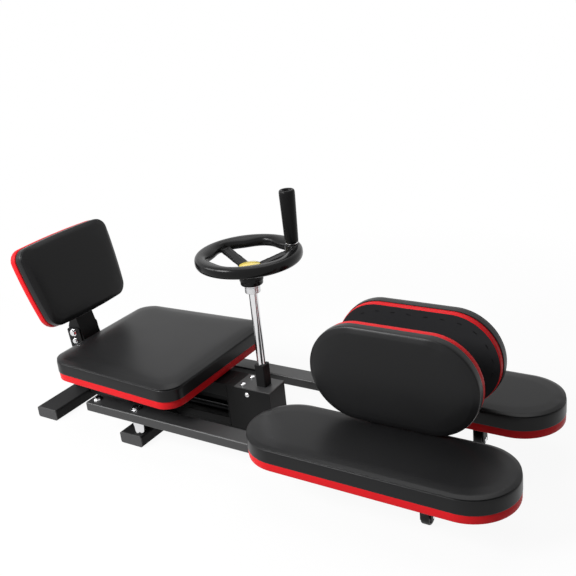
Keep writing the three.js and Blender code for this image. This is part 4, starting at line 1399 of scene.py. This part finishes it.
@dataclass
class Handwheel:
    """The moulded wheel with its scalloped rim, three spokes, hub, cap, post and turning handle."""

    finishes: Finishes
    x: float = 285.8
    radius: float = 124.4
    rim_outer: float = 12.5
    rim_inner: float = 16.0
    lobe_depth: float = 9.0
    lobes: int = 6
    squareness: float = 0.78
    rim_height: float = 26.5
    height: float = 473.6
    first_spoke: float = 40.4
    spoke_width: float = 25.0
    spoke_thickness: float = 9.5
    hub_height: float = 444.0
    hub_radius: float = 28.0
    handle_radius: float = 101.5
    voxel: float = 1.25

    def build(self) -> None:
        """Builds the wheel and all that turns with it."""
        finishes = self.finishes
        for make, body, slot, finish, node in (
            (self.body, "wheel", "black_plastic", finishes.moulding, "handwheel"),
            (self.sleeve, "wheel", "black_plastic", finishes.moulding, "handwheel"),
            (self.cap, "wheel", "yellow_cap", finishes.yellow, "wheel_cap"),
            (self.post, "wheel", "chrome", finishes.chrome, "wheel_post"),
            (self.collar, "wheel", "chrome", finishes.brushed, "post_collar"),
            (self.spindle, "wheel", "chrome", finishes.chrome, "handle_spindle"),
            (self.grip, "grip", "black_plastic", finishes.grip, "handle_grip"),
        ):
            stand_in(make(), body, [finish], [node])

    def rim(self) -> Piece:
        """Makes the rim: round outside, flat on top, with finger lobes on its inner side.

        Returns:
            The rim, centred on the z axis at the wheel's height.
        """
        major = self.radius - self.rim_outer
        deselect_all()
        bpy.ops.mesh.primitive_torus_add(
            major_segments=216, minor_segments=36, major_radius=major * MM, minor_radius=self.rim_outer * MM,
        )
        rim = bpy.context.active_object
        for vertex in rim.data.vertices:
            angle = math.atan2(vertex.co.y, vertex.co.x)
            out = (math.hypot(vertex.co.x, vertex.co.y) / MM - major) / self.rim_outer
            up = vertex.co.z / MM / self.rim_outer
            out, up = (math.copysign(abs(value) ** self.squareness, value) for value in (out, up))
            lobe = 0.5 - 0.5 * math.cos(self.lobes * (angle - math.radians(self.first_spoke)))
            inward = max(0.0, -out)
            reach = self.rim_outer if out > 0 else self.rim_inner + self.lobe_depth * lobe
            radius = (major + out * reach) * MM
            height = self.height + up * self.rim_height / 2 - inward * inward * (1.5 + lobe)
            vertex.co = Vector((radius * math.cos(angle), radius * math.sin(angle), height * MM))
        return rim

    def spoke(self, degrees: float) -> Piece:
        """Makes one flat spoke with raised edges, from the hub up to the rim.

        Args:
            degrees: The spoke's direction.

        Returns:
            The spoke.
        """
        start, end = 14.0, self.radius - self.rim_outer
        run, rise = end - start, self.height - self.hub_height
        spoke = block("wheel_spoke", math.hypot(run, rise), self.spoke_width, self.spoke_thickness)
        with editing(spoke):
            for direction in (1, -1):
                pick_faces(spoke, lambda place, normal: normal.z * direction > 0.9)
                bpy.ops.mesh.inset(thickness=4.0 * MM)
                bpy.ops.transform.translate(value=(0, 0, -direction * 2.6 * MM))
        middle = Vector(((start + end) / 2, 0, (self.height + self.hub_height) / 2)) * MM
        slope = Matrix.Rotation(-math.atan2(rise, run), 4, "Y")
        place_piece(spoke, turn_z(degrees) @ Matrix.Translation(middle) @ slope)
        return spoke

    def body(self) -> Piece:
        """Joins rim, spokes, hub core and handle boss into one moulding with filleted corners.

        Returns:
            The moulding at its place.
        """
        parts = [self.rim()] + [self.spoke(self.first_spoke + 120 * i) for i in range(3)]
        parts.append(turned("hub_core", [(26.5, 424), (27.6, 428), (27.6, 444), (25.0, 447.6)], 64))
        boss = turned("handle_boss", [(15.0, 462.4), (17.0, 466), (17.0, 486.4), (15.4, 488.4)], 48)
        spread = math.radians(self.first_spoke)
        reach = self.handle_radius
        place_piece(boss, by(reach * math.cos(spread), reach * math.sin(spread), 0))
        parts.append(boss)
        body = join_pieces("handwheel_moulding", parts)
        use_modifier(body, "REMESH", mode="VOXEL", voxel_size=self.voxel * MM, use_smooth_shade=True)
        use_modifier(body, "SMOOTH", factor=0.5, iterations=7)
        place_piece(body, self.axis())
        return body

    def sleeve(self) -> Piece:
        """Makes the hub below and round the cap, turned with its steps."""
        radius = self.hub_radius
        return lathe("hub_sleeve", [
            (10.8, 404.3), (radius - 4.4, 404.3), (radius - 2.6, 405.1), (radius - 1.6, 407.0),
            (radius - 1.2, 414.0), (radius - 0.9, 415.0), (radius, 416.0), (radius, 421.0),
            (radius - 0.5, 422.4), (radius - 1.2, 424.0), (radius - 1.6, 446.0), (radius - 1.6, 450.2),
            (radius - 2.0, 451.0), (radius - 2.3, 451.0), (radius - 2.7, 450.4), (radius - 2.8, 448.1),
            (10.8, 448.0),
        ], self.axis(), hollow=True)

    def cap(self) -> Piece:
        """Makes the smooth domed cap."""
        profile = [(24.9, 448.3), (24.9, 450.4), (24.6, 451.0), (24.0, 451.4)]
        for step in range(1, 12):
            share = step / 12
            profile.append((24.0 * (1 - share), 451.4 + 3.2 * (1 - (1 - share) ** 2)))
        profile.append((0.3, 454.6))
        return lathe("bare_wheel_cap", profile, self.axis(), degrees=40, weighted=False)

    def post(self) -> Piece:
        """Makes the bright post with its journal below."""
        return lathe("bright_post", [
            (4.6, 58.8), (5.0, 59.2), (5.0, 71.1), (9.8, 71.1), (10.4, 71.7), (10.4, 435.4), (9.8, 436.0),
        ], self.axis())

    def collar(self) -> Piece:
        """Makes the turned steel collar under the hub."""
        return lathe("turned_collar", [
            (10.7, 384.5), (17.5, 384.5), (18.5, 385.5), (18.5, 398.6), (18.0, 399.1), (18.0, 399.9),
            (18.5, 400.4), (18.5, 403.4), (17.8, 404.0), (10.7, 404.0),
        ], self.axis(), hollow=True)

    def axis(self) -> Matrix:
        """Gives where the wheel's axis stands."""
        return at(self.x, 0, 0)

    def handle_axis(self) -> Matrix:
        """Gives where the handle's axis stands."""
        spread = math.radians(self.first_spoke)
        return at(self.x + self.handle_radius * math.cos(spread), self.handle_radius * math.sin(spread), 0)

    def spindle(self) -> Piece:
        """Makes the plated spindle with its ring under the handle and its head in the bore."""
        return lathe("plated_spindle", [
            (4.6, 469.3), (5.0, 469.7), (5.0, 488.6), (13.2, 488.6), (13.8, 489.2), (13.8, 490.2),
            (13.2, 490.8), (12.6, 491.7), (5.0, 491.7), (5.0, 597.9), (7.4, 597.9),
            (8.0, 598.6), (8.0, 601.4), (7.2, 602.6), (3.4, 602.9), (3.2, 600.4), (0.3, 600.2),
        ], self.handle_axis(), sides=64)

    def grip(self) -> Piece:
        """Makes the tapered handle with its rounded lip and open bore."""
        outside = [(14.2, 492.0), (15.3, 492.5), (15.8, 493.8), (15.9, 497.0)]
        for step in range(1, 11):
            share = step / 10
            outside.append((15.9 + 2.3 * share, 497 + 98 * share))
        lip = [(18.4, 600.0), (18.4, 608.5), (18.1, 611.4), (17.2, 613.8), (15.8, 615.2), (13.6, 615.6)]
        inside = [(11.4, 615.2), (10.2, 613.8), (9.6, 611.0), (9.2, 597.7), (5.4, 597.6), (5.4, 492.0)]
        return lathe(
            "turning_handle", outside + lip + inside, self.handle_axis(), 72, 42, hollow=True, weighted=False,
        )


# Drive and casters


@dataclass
class Drive:
    """The lead screw with its nut, links and the pivot bushes."""

    finishes: Finishes
    screw_z: float = 50.0
    thread_rear: float = -93.7
    thread_front: float = 192.4
    pitch: float = 5.0
    radius: float = 8.0
    depth: float = 1.5

    def build(self) -> None:
        """Builds and dresses the drive."""
        # The lead screw's near-black steel is painted shade.
        stand_in(self.screw(), "screw", [self.finishes.greased], ["lead_screw"])
        for node, body, width in (
            ("nut_carriage", "carriage", 0.8), ("link_bar_near", "link_near", 0.6),
            ("link_bar_far", "link_far", 0.6),
        ):
            # The link bars take the rougher coat whose darker base colour is painted shade.
            finish = self.finishes.steel if node == "nut_carriage" else self.finishes.matte
            stand_in(beveled_copy(node, width), body, [finish], [node])
        for side in Side:
            bush = lathe(f"plated_bush_{side.tag}", [
                (6.4, 30.3), (11.9, 30.3), (12.5, 30.9), (12.5, 69.6), (11.9, 70.2), (6.4, 70.2),
            ], at(0, side.value * LEG_SPACING, 0), sides=72, hollow=True)
            stand_in(bush, "frame", [self.finishes.chrome], [f"pivot_bush_{side.tag}"])

    def screw(self) -> Piece:
        """Makes the lead screw: a rolled thread between two plain journals.

        Returns:
            The screw at its place.
        """
        length = self.thread_front - self.thread_rear
        rings = round(length / self.pitch * 8)
        sides = 24
        deselect_all()
        bpy.ops.mesh.primitive_grid_add(x_subdivisions=rings, y_subdivisions=sides, size=1)
        thread = bpy.context.active_object
        for vertex in thread.data.vertices:
            along = (vertex.co.x + 0.5) * length
            turn = vertex.co.y + 0.5
            phase = (along / self.pitch - turn) % 1.0
            slope = min(1.0, max(0.0, (abs(phase - 0.5) - 0.14) / 0.16))
            reach = (self.radius - self.depth * slope) * MM
            angle = turn * 2 * math.pi
            x = (self.thread_rear + along) * MM
            vertex.co = Vector((x, reach * math.cos(angle), reach * math.sin(angle)))
        with editing(thread, "VERT", whole=True):
            bpy.ops.mesh.remove_doubles(threshold=0.00002)
            bpy.ops.mesh.fill_holes(sides=0)
        rear = turned("rear_journal", [(4.4, -100.3), (5.0, -99.7), (5.0, -92.0)], 32)
        front = turned("front_journal", [(5.0, 190.0), (5.0, 274.4), (4.4, 275.0)], 32)
        for journal in (rear, front):
            place_piece(journal, turn_y(90))
        screw = join_pieces("threaded_screw", [thread, rear, front])
        recalculate(screw)
        smooth_shading(screw, 50, weighted=False)
        place_piece(screw, at(0, 0, self.screw_z))
        return screw


@dataclass
class Casters:
    """The two fixed casters under the arms."""

    finishes: Finishes
    x: float = 768.1
    radius: float = 20.0
    half_width: float = 9.0

    def build(self) -> None:
        """Builds both wheels with their axle ends."""
        for side in Side:
            place = at(self.x, side.value * LEG_SPACING, self.radius) @ turn_y(90)
            wheel = self.wheel(side, place)
            node = f"caster_wheel_{side.tag}"
            stand_in(wheel, f"caster_{side.tag}", [self.finishes.caster], [node])
            axle = self.axle(side)
            place_piece(axle, place)
            stand_in(axle, f"leg_{side.tag}", [self.finishes.chrome], [])

    def wheel(self, side: Side, place: Matrix) -> Piece:
        """Makes a wheel with a rounded tread and a dished hub."""
        outer, half = self.radius, self.half_width
        right = [
            (7.2, half), (7.8, half - 0.8), (8.6, half - 2.4), (14.6, half - 2.4), (15.4, half - 0.6),
            (16.0, half - 0.1), (18.2, half - 0.1), (19.3, half - 0.6), (outer, half - 2.4), (outer, 0.0),
        ]
        left = [(radius, -height) for radius, height in reversed(right[:-1])]
        profile = [(4.3, -half), *reversed(left), *reversed(right), (4.3, half)]
        return lathe(f"caster_tyre_{side.tag}", profile, place, sides=64, degrees=36, hollow=True)

    def axle(self, side: Side) -> Piece:
        """Makes the riveted ends of a caster's axle."""
        ends = []
        for direction in (-1, 1):
            end = turned(f"axle_end_{direction}", [
                (5.6, 12.3), (5.6, 13.4), (4.9, 14.3), (3.0, 14.8), (0.4, 14.9),
            ], 32)
            if direction < 0:
                place_piece(end, turn_x(180))
            ends.append(end)
        axle = join_pieces(f"caster_axle_{side.tag}", ends)
        smooth_shading(axle, 36, weighted=False)
        return axle


# Backing staples


@dataclass
class BackFixings:
    """Staples round the cloth on the back of each board."""

    finishes: Finishes
    spacing: float = 38.0
    crown: float = 9.0
    wire: float = 0.55
    inset: float = 15.0

    def staple(self) -> Piece:
        """Makes one staple lying along x on the plane z = 0, facing down."""
        staple = block("staple", self.crown, self.wire * 2, self.wire)
        with editing(staple):
            for direction in (-1, 1):
                pick_faces(staple, lambda place, normal: normal.x * direction > 0.9)
                bpy.ops.mesh.extrude_region_move(TRANSFORM_OT_translate={
                    "value": (direction * 0.5 * MM, 0, 0.9 * MM),
                })
        return staple

    def ring(self, pad: Pad) -> Piece:
        """Sets staples round one pad's back.

        Args:
            pad: The pad whose board is stapled.

        Returns:
            The staples of the pad at their place.
        """
        model = self.staple()
        copies = []
        route = self.route(pad)
        for index in range(len(route)):
            here, there = route[index], route[(index + 1) % len(route)]
            along = there - here
            middle = (here + there) / 2
            lean = 0.12 * math.sin(index * 2.7)
            angle = math.atan2(along.y, along.x) + lean
            drop = Matrix.Translation(Vector((middle.x, middle.y, -0.35 * MM)))
            copies.append(copy_piece(model, f"staple_{index}", drop @ Matrix.Rotation(angle, 4, "Z")))
        bpy.data.objects.remove(model, do_unlink=True)
        staples = join_pieces(f"{pad.name}_staples", copies)
        place_piece(staples, pad.place)
        return staples

    def route(self, pad: Pad) -> list[Vector]:
        """Gives evenly spaced points round a pad's back, inside its outline."""
        half_length, half_width = pad.length / 2 - self.inset, pad.width / 2 - self.inset
        corner = max(8.0, pad.corner - self.inset)
        outline = []
        for quarter, (sx, sy) in enumerate(((1, 1), (-1, 1), (-1, -1), (1, -1))):
            for step in range(13):
                angle = (quarter + step / 12) * math.pi / 2
                outline.append(Vector((
                    sx * (half_length - corner) + corner * math.cos(angle),
                    sy * (half_width - corner) + corner * math.sin(angle), 0,
                )))
        points, left = [], 0.0
        for here, there in zip(outline, outline[1:] + outline[:1]):
            length = (there - here).length
            while left < length:
                points.append(here.lerp(there, left / length))
                left += self.spacing
            left -= length
        for place in points:
            up = place.x / (pad.length / 2)
            across = place.y / (pad.width / 2)
            place.x += pad.bow * (1 - across * across) * up
            place.y = (place.y + pad.bow * (1 - up * up) * across) * (1 + pad.narrowing * up)
        return [place * MM for place in points]

    def build(self, pads: list[Pad]) -> None:
        """Staples every pad."""
        for pad in pads:
            stand_in(self.ring(pad), pad.body, [self.finishes.greased], [])


def main() -> None:
    """Builds the machine and its studio."""
    logging.basicConfig(level=logging.INFO, format="%(name)s: %(message)s")
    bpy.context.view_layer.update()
    Camera().build()
    Studio().build()
    finishes = Finishes.make()
    dressing = {
        "black_paint": finishes.paint, "end_caps": finishes.caps, "chrome": finishes.chrome,
        "machined_steel": finishes.steel, "red_board": finishes.red, "vinyl": finishes.vinyl,
        "black_plastic": finishes.moulding, "yellow_cap": finishes.yellow,
    }
    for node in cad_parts.values():
        for index, slot in enumerate(node.material_slots):
            name = slot.material.name.split(".")[0] if slot.material else "black_paint"
            node.material_slots[index].material = dressing.get(name, finishes.paint)
            log.info("node %s has slot %s", node.name, name)
    upholstery = Upholstery(finishes)
    upholstery.build()
    SteelWork(finishes).build()
    Fasteners(finishes).build()
    Handwheel(finishes).build()
    Drive(finishes).build()
    Casters(finishes).build()
    BackFixings(finishes).build(upholstery.pads())


if __name__ == "__main__":
    main()
